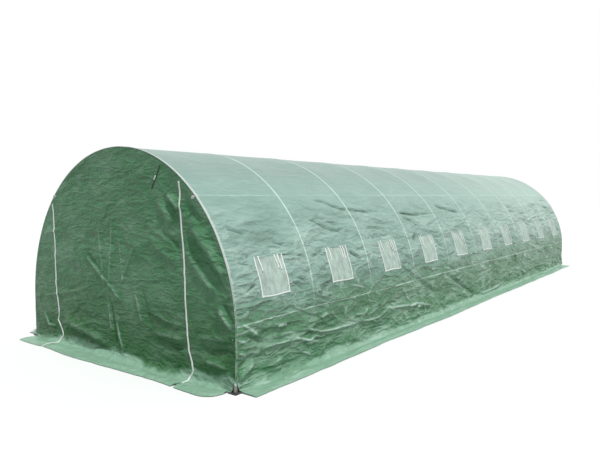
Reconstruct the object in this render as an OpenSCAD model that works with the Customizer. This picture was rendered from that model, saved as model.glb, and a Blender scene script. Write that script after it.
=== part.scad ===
// Walk-in polytunnel greenhouse: steel hoops and purlins under a woven film cover.
// The tunnel runs along Y with its front at -Y, X points to the right and Z up.
// The origin is on the ground, at the middle of the tunnel.

/* [Tunnel] */
// Width over the cover, from side to side
tunnel_w = 3000; // [2400:50:3600]
// Height of the cover's crown above the ground
tunnel_h = 1950; // [1850:10:2400]
// Distance from hoop to hoop
bay = 1000; // [800:10:1400]
// Number of bays
bays = 10; // [4:1:12]

/* [Steel tubes] */
// Outside diameter of the frame tubes
tube_d = 25; // [19:1:32]
// Wall of the frame tubes
tube_wall = 1.2; // [0.8:0.1:3]
// Angle of the shoulder purlins above the hoop's centre
shoulder_angle = 45; // [38:1:60]
// Angle of the side rails above the hoop's centre
rail_angle = 2.4; // [2.2:0.1:4.5]
// Gap from a hoop's centre line to the end of a purlin tube
purlin_setback = 20; // [17:1:30]

/* [Cross connectors] */
// Wall of a connector's sleeve round the hoop
connector_wall = 2; // [1.5:0.1:3]
// Wall of a connector's sockets, thinner than the sleeve's
socket_wall = 1.6; // [1:0.1:2]
// Length of a connector's sleeve along the hoop
sleeve_len = 70; // [50:5:90]
// Reach of a connector's socket from the hoop's centre line
socket_reach = 60; // [45:5:100]
// How far the spare shoulder sockets stand out of the end walls
stub_proud = 14; // [6:1:30]
// Gap between a tube and the connector or foot around it
seat_gap = 0.15; // [0.1:0.05:0.3]

/* [Corner braces] */
// Height of a brace's bolt on the end hoop
brace_top = 415; // [300:5:430]
// Height of a brace's bolt on the second hoop
brace_foot = 105; // [90:5:200]
// Thickness of a brace's flattened end
brace_tab_t = 3; // [2:0.5:5]
// Width of a brace's flattened end
brace_tab_w = 34; // [26:1:40]
// Length of a brace's flattened end
brace_tab_len = 45; // [40:1:60]
// Length over which the tube is pressed flat
brace_taper = 40; // [25:1:60]

/* [Feet] */
// Side of a square foot plate
plate_w = 85; // [80:1:120]
// Thickness of a foot plate
plate_t = 4; // [3:0.5:8]
// Height of the socket that holds a leg
foot_socket_h = 55; // [30:1:70]
// Diameter of a ground peg hole
peg_d = 9; // [6:0.5:12]
// Distance between the two peg holes of a foot
peg_spacing = 56; // [50:1:60]
// Distance of the peg holes inboard of the leg
peg_inset = 28; // [26:1:32]

/* [Cover] */
// Thickness of the cover film
cover_t = 3; // [2:0.5:5]
// Play between the film and what it is drawn over
film_gap = 0.3; // [0.2:0.1:0.6]
// Width of the side skirts on the ground
side_skirt_w = 180; // [80:5:350]
// Width of the end skirts on the ground
end_skirt_w = 230; // [80:5:350]
// How far the end skirts stop short of the tunnel's sides
end_skirt_inset = 70; // [40:5:150]
// Width of the slits that part the end skirts
skirt_slit = 6; // [3:1:20]
// Width of the edge binding along the end hoops
hem_w = 18; // [12:1:40]
// Thickness of the edge binding, the window trims and the tie straps
trim_t = 2; // [1:0.5:3]

/* [Windows] */
// Width of a window
window_w = 340; // [250:5:500]
// Height of a window along the film
window_h = 320; // [250:5:450]
// Height of a window's lower edge above the ground
window_sill = 700; // [640:5:800]
// Width of the white trim round a window
window_trim_w = 12; // [8:1:40]
// Thickness of a window's insect net
net_t = 1; // [0.8:0.1:1.5]

/* [Doors] */
// Distance of a zip's foot from the tunnel's middle
zip_foot = 990; // [800:5:1000]
// Lean of both zips to the left, where the slack film pulls them
zip_lean = 4.5; // [0:0.5:5]
// Width of a zip's tape
zip_tape_w = 18; // [14:1:50]
// Thickness of a zip's tape
zip_tape_t = 2; // [1:0.5:3]
// Width of a zip's row of teeth
zip_teeth_w = 7; // [5:1:12]
// Thickness of a zip's row of teeth
zip_teeth_t = 5; // [3:0.5:8]
// Distance from the top of a zip to the hoop's edge
zip_top_gap = 40; // [30:1:120]
// Distance of a door tie's top from the tunnel's middle
tie_x = 635; // [300:5:680]
// Lean of a door tie to the left, towards the door's middle
tie_lean = 29; // [0:1:35]
// Width of a door tie's strap
tie_w = 14; // [10:1:40]
// Length of a door tie's strap
tie_len = 230; // [200:5:400]
// Distance from the top of a door tie to the hoop's edge
tie_top_gap = 35; // [30:1:120]
// Diameter of a door tie's toggle
toggle_d = 12; // [8:1:20]
// Length of a door tie's toggle
toggle_len = 42; // [30:1:80]
// Length of strap above a door tie's toggle
toggle_drop = 105; // [60:5:115]

/* [Hidden] */
$fn = 96;
eps = 1;
tunnel_len = bay * bays;
cover_r = tunnel_w / 2;
film_r = cover_r - cover_t;
arc_z = tunnel_h - cover_r;
bore_r = tube_d / 2 + seat_gap;
sleeve_sag = pow(sleeve_len / 2, 2) / tunnel_w;
sleeve_bore_r = bore_r + sleeve_sag / 2;
shell_r = sleeve_bore_r + connector_wall;
socket_floor = purlin_setback - film_gap;
socket_r = bore_r + min(socket_wall, connector_wall - 0.2);
hoop_r = film_r - film_gap - shell_r;
film_z = plate_t + film_gap;
wall_end = tunnel_len / 2 + shell_r + film_gap;
end_face = wall_end + cover_t;
trim_r = cover_r + film_gap;
window_low = asin((window_sill - arc_z) / cover_r);
window_high = window_low + window_h / cover_r * 180 / PI;
trim_angle = window_trim_w / cover_r * 180 / PI;
tie_top = arch(tie_x + tie_w / 2) - tie_top_gap;
brace_x = hoop_r - tube_d / 2 - seat_gap - brace_tab_t / 2;

function hoop_y(i) = (i - bays / 2) * bay;
function bay_y(i) = hoop_y(i) + bay / 2;
function arch(x) = arc_z + sqrt(pow(cover_r, 2) - pow(x, 2));
function zip_x(foot, z) = foot - (z - film_z) * tan(zip_lean);
function zip_top(foot, z = 0, tries = 12) = tries == 0 ? z
    : zip_top(foot, arch(abs(zip_x(foot, z)) + zip_tape_w / 2) - zip_top_gap, tries - 1);
function two_digits(n) = str(n < 10 ? "0" : "", n);
function hoop_name(i) = str("hoop_", two_digits(i + 1));

// Placing helpers

// Moves children from the hoop's own plane, centred on its arc, to the height of the arc's centre.
module at_arc() {
    translate([0, 0, arc_z]) children();
}

// Turns children that lie at +X on the arc up to an angle above the horizontal.
module at_angle(angle) {
    at_arc() rotate([0, -angle, 0]) children();
}

// Makes children for the right side and mirrors them for the left one.
module both_sides() {
    children();
    mirror([1, 0, 0]) children();
}

// Mirrors children from the right side to the left one.
module left_side() {
    mirror([1, 0, 0]) children();
}

// Turns children from the front end to the rear one.
module rear_end() {
    rotate([0, 0, 180]) children();
}

// Basic forms

// A stretch of an arc about the Y axis with the 2D children as its section, from one angle to another.
module arc_sweep(from, to) {
    rotate([90, 0, 0]) rotate([0, 0, from]) rotate_extrude(angle = to - from) children();
}

// A film or strap that follows the hoop: inner radius, thickness, angles and stretch along Y.
module arc_sheet(r, t, from, to, y_from, y_to) {
    at_arc() arc_sweep(from, to) translate([r, -y_to]) square([t, y_to - y_from]);
}

module tube_section() {
    difference() {
        circle(d = tube_d);
        circle(d = tube_d - 2 * tube_wall);
    }
}

module tube_along_y(from, to) {
    translate([0, from, 0]) rotate([-90, 0, 0]) linear_extrude(to - from) tube_section();
}

// Frame

module hoop(i) {
    color("silver") translate([0, hoop_y(i), 0]) {
        at_arc() arc_sweep(0, 180) translate([hoop_r, 0]) tube_section();
        both_sides() translate([hoop_r, 0, plate_t]) linear_extrude(arc_z - plate_t) tube_section();
    }
}

module purlin(angle) {
    color("silver") at_angle(angle) translate([hoop_r, 0, 0])
        for (i = [0:bays - 1]) tube_along_y(hoop_y(i) + purlin_setback, hoop_y(i + 1) - purlin_setback);
}

// A straight sleeve on the hoop, with a blind socket for a purlin towards -Y and one towards +Y.
module connector(angle, reach_back, reach_ahead) {
    at_angle(angle) translate([hoop_r - sleeve_sag / 2, 0, 0]) difference() {
        union() {
            cylinder(r = shell_r, h = sleeve_len, center = true);
            translate([sleeve_sag / 2, -reach_back, 0]) rotate([-90, 0, 0])
                cylinder(r = socket_r, h = reach_back + reach_ahead);
        }
        cylinder(r = sleeve_bore_r, h = sleeve_len + 2 * eps, center = true);
        if (reach_back > 0) translate([sleeve_sag / 2, -socket_floor, 0]) rotate([90, 0, 0])
            cylinder(r = bore_r, h = reach_back - socket_floor + eps);
        if (reach_ahead > 0) translate([sleeve_sag / 2, socket_floor, 0]) rotate([-90, 0, 0])
            cylinder(r = bore_r, h = reach_ahead - socket_floor + eps);
    }
}

// One connector on each hoop: on the end hoops, the outward socket has its own reach.
module connector_row(angle, end_reach) {
    color("gainsboro") for (i = [0:bays])
        translate([0, hoop_y(i), 0])
            connector(angle, i == 0 ? end_reach : socket_reach, i == bays ? end_reach : socket_reach);
}

module ridge_connectors() connector_row(90, 0);

module shoulder_connectors() {
    for (angle = [shoulder_angle, 180 - shoulder_angle])
        connector_row(angle, end_face - tunnel_len / 2 + stub_proud);
}

module rail_connectors() {
    for (angle = [rail_angle, 180 - rail_angle]) connector_row(angle, 0);
}

// A flattened tube end: the round tube is pressed to a tab with a round tip.
module brace_end() {
    hull() {
        rotate([0, 90, 0]) cylinder(d = tube_d, h = eps, $fn = 32);
        translate([-brace_taper, -brace_tab_t / 2, -brace_tab_w / 2]) cube([eps, brace_tab_t, brace_tab_w]);
    }
    translate([-brace_taper - brace_tab_len + brace_tab_w / 2, -brace_tab_t / 2, -brace_tab_w / 2])
        cube([brace_tab_len - brace_tab_w / 2 + eps / 2, brace_tab_t, brace_tab_w]);
    translate([-brace_taper - brace_tab_len + brace_tab_w / 2, brace_tab_t / 2, 0])
        rotate([90, 0, 0]) cylinder(d = brace_tab_w, h = brace_tab_t);
}

// A tube from the end hoop down to the foot of the second hoop, bolted to the inner side of both legs.
module brace() {
    drop = brace_top - brace_foot;
    run = norm([bay, drop]);
    end_len = brace_taper + brace_tab_len - brace_tab_w / 2;
    translate([brace_x, hoop_y(0), brace_top])
        rotate([-atan2(drop, bay), 0, 0]) rotate([0, 0, 90]) {
            translate([end_len, 0, 0]) {
                brace_end();
                rotate([0, 90, 0]) cylinder(d = tube_d, h = run - 2 * end_len);
            }
            translate([run - end_len, 0, 0]) mirror([1, 0, 0]) brace_end();
        }
}

module front_braces() color("silver") both_sides() brace();

module rear_braces() rear_end() front_braces();

// A plate with a socket for the leg and two peg holes on its inner side.
module foot_plate() {
    difference() {
        union() {
            translate([-plate_w / 2, -plate_w / 2, 0]) cube([plate_w, plate_w, plate_t]);
            cylinder(r = bore_r + connector_wall, h = plate_t + foot_socket_h);
        }
        translate([0, 0, plate_t]) cylinder(r = bore_r, h = foot_socket_h + eps);
        for (side = [-1, 1])
            translate([-peg_inset, side * peg_spacing / 2, -eps]) cylinder(d = peg_d, h = plate_t + 2 * eps);
    }
}

module foot_plates() {
    color("dimgray") both_sides() for (i = [0:bays])
        translate([hoop_r, hoop_y(i), 0]) foot_plate();
}

// Cover

film_green = [0.36, 0.55, 0.44];

// The straight wall and the start of the arc, up to the window sills.
module right_lower_wall() {
    color(film_green) {
        translate([film_r, -wall_end, film_z]) cube([cover_t, 2 * wall_end, arc_z - film_z]);
        arc_sheet(film_r, cover_t, 0, window_low, -wall_end, wall_end);
    }
}

// The block that a window, or a margin round it, takes out of the film of one bay.
module window_block(i, r, t, margin_side, margin_low, margin_high) {
    arc_sheet(r, t, window_low - margin_low, window_high + margin_high,
        bay_y(i) - window_w / 2 - margin_side, bay_y(i) + window_w / 2 + margin_side);
}

// The film between the windows: a length of wall on each hoop.
module right_window_wall() {
    color(film_green) for (i = [0:bays])
        arc_sheet(film_r, cover_t, window_low, window_high,
            i == 0 ? -wall_end : bay_y(i - 1) + window_w / 2, i == bays ? wall_end : bay_y(i) - window_w / 2);
}

// The film above the windows, over the shoulder purlin to the ridge.
module right_roof() {
    color(film_green) arc_sheet(film_r, cover_t, window_high, 90, -wall_end, wall_end);
}

// The net fills the window's opening, at the middle of the film's thickness.
module right_window_nets() {
    net_angle = film_gap / cover_r * 180 / PI;
    color("whitesmoke") for (i = [0:bays - 1])
        window_block(i, film_r + (cover_t - net_t) / 2, net_t, -film_gap, -net_angle, -net_angle);
}

// White tape on the outside, down both sides of a window and along its lower edge.
module right_window_trims() {
    color("white") for (i = [0:bays - 1]) difference() {
        window_block(i, trim_r, trim_t, window_trim_w, trim_angle, 0);
        window_block(i, trim_r - eps, trim_t + 2 * eps, 0, 0, trim_angle);
    }
}

module right_skirt() {
    color(film_green) translate([cover_r, -end_face, film_z]) cube([side_skirt_w, 2 * end_face, cover_t]);
}

// The end skirt is slit below each zip, so that its middle goes up with the door.
module front_skirt() {
    half = cover_r - end_skirt_inset;
    color(film_green) difference() {
        translate([-half, -end_face - end_skirt_w, film_z]) cube([2 * half, end_skirt_w, cover_t]);
        for (side = [-1, 1])
            translate([side * zip_foot - skirt_slit / 2, -end_face - end_skirt_w - eps, film_z - eps])
                cube([skirt_slit, end_skirt_w + 2 * eps, cover_t + 2 * eps]);
    }
}

module rear_skirt() rear_end() front_skirt();

// Ends

// The outline of an end wall: an arch on straight sides.
module end_outline() {
    intersection() {
        translate([0, arc_z]) circle(r = cover_r, $fn = 256);
        translate([-cover_r, arc_z]) square([2 * cover_r, cover_r]);
    }
    translate([-cover_r, film_z]) square([2 * cover_r, arc_z - film_z]);
}

// The part of the front wall between two leaning lines, with a hole for each spare shoulder socket.
module front_panel(from, to) {
    top = tunnel_h + eps;
    color(film_green) translate([0, -wall_end, 0]) rotate([90, 0, 0]) linear_extrude(cover_t) difference() {
        intersection() {
            end_outline();
            polygon([[zip_x(from, 0), 0], [zip_x(to, 0), 0], [zip_x(to, top), top], [zip_x(from, top), top]]);
        }
        for (angle = [shoulder_angle, 180 - shoulder_angle])
            translate([hoop_r * cos(angle), arc_z + hoop_r * sin(angle)]) circle(r = shell_r + film_gap);
    }
}

module front_left_panel() front_panel(-tunnel_w, -zip_foot);

module front_door() front_panel(-zip_foot, zip_foot);

module front_right_panel() front_panel(zip_foot, tunnel_w);

module rear_left_panel() rear_end() front_right_panel();

module rear_door() rear_end() front_door();

module rear_right_panel() rear_end() front_left_panel();

// A zip's tape covers the joint of door and panel, and its teeth stand proud of the tape.
module zip(foot) {
    low = film_z + 2 * cover_t;
    length = (zip_top(foot) - low) / cos(zip_lean);
    translate([zip_x(foot, low), -end_face, low]) rotate([0, -zip_lean, 0]) {
        translate([-zip_tape_w / 2, -zip_tape_t, 0]) cube([zip_tape_w, zip_tape_t, length]);
        translate([-zip_teeth_w / 2, -zip_teeth_t, 0]) cube([zip_teeth_w, zip_teeth_t, length]);
    }
}

module front_zips() {
    color("white") for (side = [-1, 1]) zip(side * zip_foot);
}

module rear_zips() rear_end() front_zips();

// Hangs children from a door tie's top on the front's face, with -Z down along the strap.
module at_tie() {
    translate([tie_x, -end_face, tie_top]) rotate([0, tie_lean, 0]) children();
}

// A strap that hangs from the arch and holds the rolled-up door.
module door_tie() {
    at_tie() translate([-tie_w / 2, -trim_t, -tie_len]) cube([tie_w, trim_t, tie_len]);
}

module door_ties() {
    color("darkslategray") {
        door_tie();
        rear_end() door_tie();
    }
}

// A round-ended barrel that lies on the strap.
module tie_toggle() {
    barrel = toggle_len - toggle_d;
    at_tie() translate([0, -trim_t - toggle_d / 2, -toggle_drop - toggle_len + toggle_d / 2])
        rotate_extrude() {
            translate([0, barrel]) intersection() {
                circle(d = toggle_d);
                square(toggle_d);
            }
            square([toggle_d / 2, barrel]);
            intersection() {
                circle(d = toggle_d);
                translate([0, -toggle_d]) square(toggle_d);
            }
        }
}

module tie_toggles() {
    color("white") {
        tie_toggle();
        rear_end() tie_toggle();
    }
}

// White binding over the edge of the cover, round each end.
module end_hem() {
    low = film_z + cover_t + film_gap;
    arc_sheet(trim_r, trim_t, 0, 180, -end_face, -end_face + hem_w);
    both_sides() translate([trim_r, -end_face, low]) cube([trim_t, hem_w, arc_z - low]);
}

module end_hems() {
    color("white") {
        end_hem();
        rear_end() end_hem();
    }
}

for (i = [0:bays]) hoop(i);
purlin(90);  // ridge_purlin
purlin(180 - shoulder_angle);  // left_shoulder_purlin
purlin(shoulder_angle);  // right_shoulder_purlin
purlin(180 - rail_angle);  // left_side_rail
purlin(rail_angle);  // right_side_rail
ridge_connectors();
shoulder_connectors();
rail_connectors();
front_braces();
rear_braces();
foot_plates();
left_side() right_lower_wall();  // left_lower_wall
right_lower_wall();
left_side() right_window_wall();  // left_window_wall
right_window_wall();
left_side() right_roof();  // left_roof
right_roof();
left_side() right_skirt();  // left_skirt
right_skirt();
front_skirt();
rear_skirt();
front_left_panel();
front_door();
front_right_panel();
rear_left_panel();
rear_door();
rear_right_panel();
front_zips();
rear_zips();
door_ties();
tie_toggles();
end_hems();
left_side() right_window_nets();  // left_window_nets
right_window_nets();
left_side() right_window_trims();  // left_window_trims
right_window_trims();
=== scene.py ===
"""Film, nets, tapes, zips, ties and bolts of a polytunnel greenhouse, made over its packed steel frame."""
import math

import bpy
import numpy as np
from bpy.props import FloatProperty, FloatVectorProperty, PointerProperty
from mathutils import Matrix, Vector


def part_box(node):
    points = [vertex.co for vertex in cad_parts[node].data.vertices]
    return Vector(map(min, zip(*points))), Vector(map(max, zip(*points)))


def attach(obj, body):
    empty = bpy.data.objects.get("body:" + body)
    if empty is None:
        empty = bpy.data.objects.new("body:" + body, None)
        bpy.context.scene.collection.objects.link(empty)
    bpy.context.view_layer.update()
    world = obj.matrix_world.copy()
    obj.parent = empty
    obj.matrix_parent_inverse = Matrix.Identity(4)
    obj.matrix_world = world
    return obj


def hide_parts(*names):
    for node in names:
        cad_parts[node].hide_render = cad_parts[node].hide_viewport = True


bl_info = {
    "name": "Polytunnel greenhouse",
    "version": (1, 0, 0),
    "blender": (4, 5, 0),
    "location": "View3D > Sidebar > Polytunnel",
    "description": "Makes the film, nets, tapes, zips, ties and bolts of a polytunnel over its steel frame",
    "category": "Object",
}

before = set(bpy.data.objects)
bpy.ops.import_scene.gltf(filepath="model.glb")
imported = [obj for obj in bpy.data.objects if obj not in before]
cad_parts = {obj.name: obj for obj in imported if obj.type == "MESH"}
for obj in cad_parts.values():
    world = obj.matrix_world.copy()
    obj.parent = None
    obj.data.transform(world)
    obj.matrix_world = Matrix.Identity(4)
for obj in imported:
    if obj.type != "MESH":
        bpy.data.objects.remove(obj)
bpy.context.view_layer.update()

# Places of the frame, in metres
ROOF_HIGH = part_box("right_roof")[1]
SKIRT_LOW, SKIRT_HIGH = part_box("right_skirt")
END_LOW, END_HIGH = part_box("front_skirt")
NET_LOW, NET_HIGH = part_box("right_window_nets")
DOOR_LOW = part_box("front_door")[0]
ZIP_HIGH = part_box("front_zips")[1]
TIE_LOW, TIE_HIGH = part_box("door_ties")
COVER_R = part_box("right_lower_wall")[1][0]
ARC_Z = ROOF_HIGH[2] - COVER_R
GROUND_Z = SKIRT_LOW[2]
COVER_END = ROOF_HIGH[1]
END_FACE = -DOOR_LOW[1]
LEG = ARC_Z - GROUND_Z
ZIP_TAPE = 0.018
ZIP_FOOT = ZIP_HIGH[0] - ZIP_TAPE / 2
ZIP_LEAN = math.tan(math.radians(4.5))
SHOULDER_U = LEG + COVER_R * math.pi / 4
RIDGE_U = LEG + COVER_R * math.pi / 2
RAIL_RISE = 0.062
RAIL_U = LEG + RAIL_RISE
HOOP_Y = sorted((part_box(n)[0][1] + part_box(n)[1][1]) / 2 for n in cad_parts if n.startswith("hoop_"))
BAY = HOOP_Y[1] - HOOP_Y[0]
BAY_MID = [(a + b) / 2 for a, b in zip(HOOP_Y, HOOP_Y[1:])]
# Nets stand this far clear of their windows' edges, in the middle of the film's thickness
NET_GAP, NET_R = 0.0003, COVER_R - 0.0015
WINDOW_HALF = NET_HIGH[1] - BAY_MID[-1] + NET_GAP
SILL_U = LEG + COVER_R * math.asin((NET_LOW[2] - NET_GAP - ARC_Z) / NET_R)
HEAD_U = LEG + COVER_R * math.asin((NET_HIGH[2] + NET_GAP - ARC_Z) / NET_R)
WINDOWS_WIDE = 2 * WINDOW_HALF * len(BAY_MID)
WINDOW_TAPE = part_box("right_window_trims")[1][1] - NET_HIGH[1] - NET_GAP
HEM_TAPE, HEM_FOOT = 0.018, 0.10
TIE_TAPE, TIE_LEAN = 0.014, math.radians(29)
MIRROR = np.array([-1.0, 1.0, 1.0])

# Small distances of the drawn pieces, in metres
# Film lies inside the solids' outer face, with its foot above the ground and curved out at least this far
FILM_INSET, FOOT_GAP, FOOT_LEAST = 0.0012, 0.003, 0.004
# End film ends this far below the arch
ARCH_GAP = 0.0015
# Film stands proud over hoops and purlins, dips no deeper than this between tubes, and this far on them
HOOP_PROUD, PURLIN_PROUD, DEEPEST, TUBE_DIP = 0.0022, 0.0016, 0.03, 0.0002
# Film follows a hoop within this distance of it
HOOP_GRIP = 0.035
# At the open corner film is pulled up by this much, in full and down to nothing this far from the corner
CORNER_UP, CORNER_NEAR, CORNER_FAR = 0.076, 0.010, 0.046
# A wall's cut has this much more for a seam, which isn't drawn
SEAM = 0.02
# Skirts lie above the ground, at least and at rest, and their waves are this high
SKIRT_LEAST, SKIRT_REST, SKIRT_WAVE = 0.002, 0.0022, 0.016
# Their outer edges lie inside the solids', along the sides and the ends, and are ragged by this much
SIDE_TRIM, END_TRIM, RAGGED = 0.010, 0.014, 0.012
# The end skirts' right corner is rounded, and their edge hollowed: place across, width and depth
FLAP_R, HOLLOW_X, HOLLOW_WIDE, HOLLOW_DEEP = 0.15, 0.80, 0.28, 0.035
# A skirt's slit under a zip is this wide on each side of it, and opens outwards by as much as this
SLIT, SLIT_OPEN = 0.003, 0.018
# Along the right wall the skirt starts this far from the open corner
CORNER_CUT = 0.03
# Tapes are this thick and wander this far off their lines; nets are this thick
TAPE_THICK, TAPE_WANDER, NET_THICK = 0.0018, 0.003, 0.0008
# Heights above the film of upright and lower window tapes and of straps, and of stitches above a tape
TAPE_UP, SILL_UP, STRAP_UP, STITCH_UP = 0.0012, 0.0016, 0.0022, 0.0022
# A zip starts above the ground, ends below the arch, wanders a little and lies on the film
ZIP_START, ZIP_SHORT, ZIP_WANDER, ZIP_UP = 0.006, 0.05, 0.006, 0.001
# Its teeth stand above the film, in two rows on both sides of its line
TEETH_UP, TEETH_OFF = 0.0032, 0.0022
# The left zip runs out over this share of the skirt, and the right one over less
ZIP_TAILS = {-1: 0.97, 1: 0.3}
# Length, width and height of a stitch and of a zip's tooth
STITCH_SIZE, TOOTH_SIZE = (0.007, 0.0014, 0.0010), (0.0036, 0.0040, 0.0034)
# Heights of a bolt's head and washer, how far up the head sits, and their radii in widths of the head
HEAD_HIGH, WASHER_HIGH, HEAD_UP, HEAD_WIDE, WASHER_WIDE = 0.006, 0.0015, 0.0037, 0.55, 0.95
# A brace's bolts sit this far from its tips, on a flat this far inside its outer side
BOLT_TIP, BOLT_FLAT = 0.017, 0.014
# A window's straps: place from its middle, lean, and length as a share of the full one
STRAPS = ((-0.122, 0.008, 0.95), (0.084, 0.010, 0.90), (0.122, 0.004, 1.0))

# Steps of the meshes: in a bay before, in and after its window, for the front, middle and rear bays
RIGHT_BAYS, LEFT_BAYS, ROOF_BAYS = ((16, 13, 16), (12, 10, 12), (8, 8, 8)), ((12, 9, 12),), ((15, 10, 15),)
# Up a wall to the arc, the sills, the heads and the shoulder, and up the roof to the ridge
RIGHT_ROWS, LEFT_ROWS, ROOF_ROWS = (40, 20, 26, 58), (26, 14, 17, 31), 34
# Across a side panel, across a door, and up them
FRONT_STEPS, REAR_STEPS = (56, 210, 170), (24, 90, 80)
# Seeds of the wrinkles and random folds, by side and by end
WALL_SEEDS, END_SEEDS = {1: 11, -1: 211}, {-1: 411, 1: 611}
# Folds wider than this are marked more faintly
MARK_WIDTH = 0.018
# The heights at which a fold is marked in full: on the walls in metres, on the ends in drapes
WALL_MARK, END_MARK = 0.014, 0.7

# Floor and light: half the floor, its colours to the eye and to bounced light, and the sky's
FLOOR_HALF = 60
FLOOR_PALE, FLOOR_WHITE, FLOOR_BOUNCE = (0.93, 0.93, 0.93), (0.95, 0.95, 0.95), (0.32, 0.33, 0.32)
SKY, SKY_STRENGTH = (0.95, 0.98, 1.0, 1.0), 0.38
# Each sun's place, the point it shines at, its strength and its angle
SUNS = {"key": ((3.4, -1.3, 9), (0, 0, 0), 2.5, 0.08), "fill": ((7, -6, 4), (0, 0, 1), 0.30, 0.4)}

# The photograph's frame in pixels, and the camera that was fitted to it
PHOTO_W, PHOTO_H, SENSOR = 600, 450, 36.0
CAMERA_PLACE = (4.472, HOOP_Y[0] - 3.055, 1.512)
CAMERA_YAW, CAMERA_PITCH, CAMERA_LENS = math.radians(-37.758), math.radians(-3.005), 33.87


# Settings

def size_setting(name, description, default):
    """A length that a user may change."""
    return FloatProperty(name=name, description=description, default=default, subtype="DISTANCE",
                         unit="LENGTH")


def colour_setting(name, description, default):
    """A colour that a user may change."""
    return FloatVectorProperty(name=name, description=description, default=default, size=3, subtype="COLOR")


class FilmSettings(bpy.types.PropertyGroup):
    """The film cover: its thickness, its slack and its colours."""
    thickness: size_setting("Thickness", "Thickness of the film sheets", 0.0012)
    sag: size_setting("Sag", "How far the film dips between hoops and purlins", 0.018)
    crumple: size_setting("Crumple", "Height of the creases on the lower walls", 0.016)
    drape: size_setting("Drape", "Height of the folds on the end walls", 0.030)
    # Painted shade: the end walls are coloured in this darker green low down, for the shade on them
    shade: colour_setting("Shade green", "Film low on the end walls", (0.036, 0.146, 0.047))
    # Painted light: the side walls go from this deep green low down, for shade, to the pale green high up
    deep: colour_setting("Deep green", "Film low on the side walls", (0.069, 0.222, 0.098))
    # The pale green is painted sky sheen on the roof and upper walls
    pale: colour_setting("Pale green", "Film on the roof, bleached and dusty", (0.256, 0.412, 0.354))
    skirt: colour_setting("Skirt green", "Film on the ground", (0.250, 0.430, 0.310))
    # Partly painted highlight: creases take this colour as stress whitening and as highlight; the tube lines
    # and the paler rear take it as painted highlight and sheen
    crease: colour_setting("Crease", "Film along its creases and over the tubes", (0.540, 0.710, 0.620))


class TrimSettings(bpy.types.PropertyGroup):
    """Tapes, straps, zips and ties."""
    tape: size_setting("Tape width", "Width of the tape round a window", WINDOW_TAPE)
    strap: size_setting("Strap width", "Width of a window's straps", 0.014)
    strap_length: size_setting("Strap length", "Length of a window's straps", 0.14)
    stitch: size_setting("Stitch pitch", "Distance from stitch to stitch", 0.014)
    tooth: size_setting("Tooth pitch", "Distance from tooth to tooth of a zip", 0.006)
    white: colour_setting("White", "Tapes and straps", (0.93, 0.97, 0.94))
    net: colour_setting("Net", "Insect net", (0.46, 0.58, 0.51))


class SteelSettings(bpy.types.PropertyGroup):
    """The frame's metal."""
    zinc: colour_setting("Zinc", "Galvanised tube", (0.62, 0.64, 0.65))
    foot: colour_setting("Foot", "Dark foot plates", (0.045, 0.05, 0.05))
    bolt: size_setting("Bolt head", "Width of a bolt head", 0.011)


class StageSettings(bpy.types.PropertyGroup):
    """Floor, light and camera."""
    lens: FloatProperty(name="Lens", description="Focal length on a 36 mm sensor, in millimetres",
                        default=CAMERA_LENS)


# Noise for the film's wrinkles

def lattice(ix, iy, seed):
    """A fixed random number from 0 to 1 for each pair of whole numbers."""
    h = (ix.astype(np.int64) * 374761393 + iy.astype(np.int64) * 668265263 + seed * 974711) & 0x7FFFFFFF
    h = ((h ^ (h >> 13)) * 1274126177) & 0x7FFFFFFF
    return ((h ^ (h >> 16)) & 0xFFFF) / 65535.0


def smooth_noise(x, y, seed):
    """Smooth random values from -1 to 1 over a plane."""
    ix, iy = np.floor(x), np.floor(y)
    fx, fy = x - ix, y - iy
    fx, fy = (f * f * f * (f * (f * 6 - 15) + 10) for f in (fx, fy))
    low = lattice(ix, iy, seed) * (1 - fx) + lattice(ix + 1, iy, seed) * fx
    high = lattice(ix, iy + 1, seed) * (1 - fx) + lattice(ix + 1, iy + 1, seed) * fx
    return 2 * (low * (1 - fy) + high * fy) - 1


def layered(x, y, seed, layers=4):
    """Noise of several sizes laid over each other."""
    return sum(smooth_noise(x * 2 ** k, y * 2 ** k, seed + k) * 0.5 ** k for k in range(layers))


def creased(x, y, seed, sharp=5.0):
    """Thin ridges, from 0 to 1, where the noise passes through zero."""
    return np.exp(-sharp * np.abs(smooth_noise(x, y, seed) + 0.5 * smooth_noise(2.1 * x, 2.1 * y, seed + 9)))


def step(low, high, x):
    """0 below low, 1 above high, with a smooth rise between them."""
    t = np.clip((x - low) / (high - low), 0, 1)
    return t * t * (3 - 2 * t)


def fold(x, z, line, width):
    """A rounded fold along a line through some points, fading at both ends."""
    length = [math.dist(a, b) for a, b in zip(line, line[1:])]
    x, z = np.broadcast_arrays(np.asarray(x, float), np.asarray(z, float))
    nearest, along = np.full(x.shape, np.inf), np.zeros(x.shape)
    for i, ((ax, az), (bx, bz)) in enumerate(zip(line, line[1:])):
        t = np.clip(((x - ax) * (bx - ax) + (z - az) * (bz - az)) / length[i] ** 2, 0, 1)
        away = np.hypot(x - ax - t * (bx - ax), z - az - t * (bz - az))
        along = np.where(away < nearest, (sum(length[:i]) + t * length[i]) / sum(length), along)
        nearest = np.minimum(nearest, away)
    return np.exp(-(nearest / width) ** 2) * step(-0.02, 0.22, along) * (1 - step(0.78, 1.02, along))


def run_out(up, reach):
    """How far film curves outwards as it comes down to the ground, at a height above it."""
    t = np.clip(up / reach, 0, 1)
    return reach * (1 - np.sqrt(np.clip(1 - (1 - t) ** 2, 0, 1)))


# Surfaces that the film follows

def near_hoop(y):
    """1 on a hoop, 0 away from it."""
    off = np.abs((y - HOOP_Y[0]) / BAY - np.round((y - HOOP_Y[0]) / BAY)) * BAY
    return np.exp(-(off / HOOP_GRIP) ** 2)


def off_middle(y):
    """Distance along the tunnel from the middle of the nearest bay."""
    return np.abs(np.mod(y - BAY_MID[0] + BAY / 2, BAY) - BAY / 2)


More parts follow.
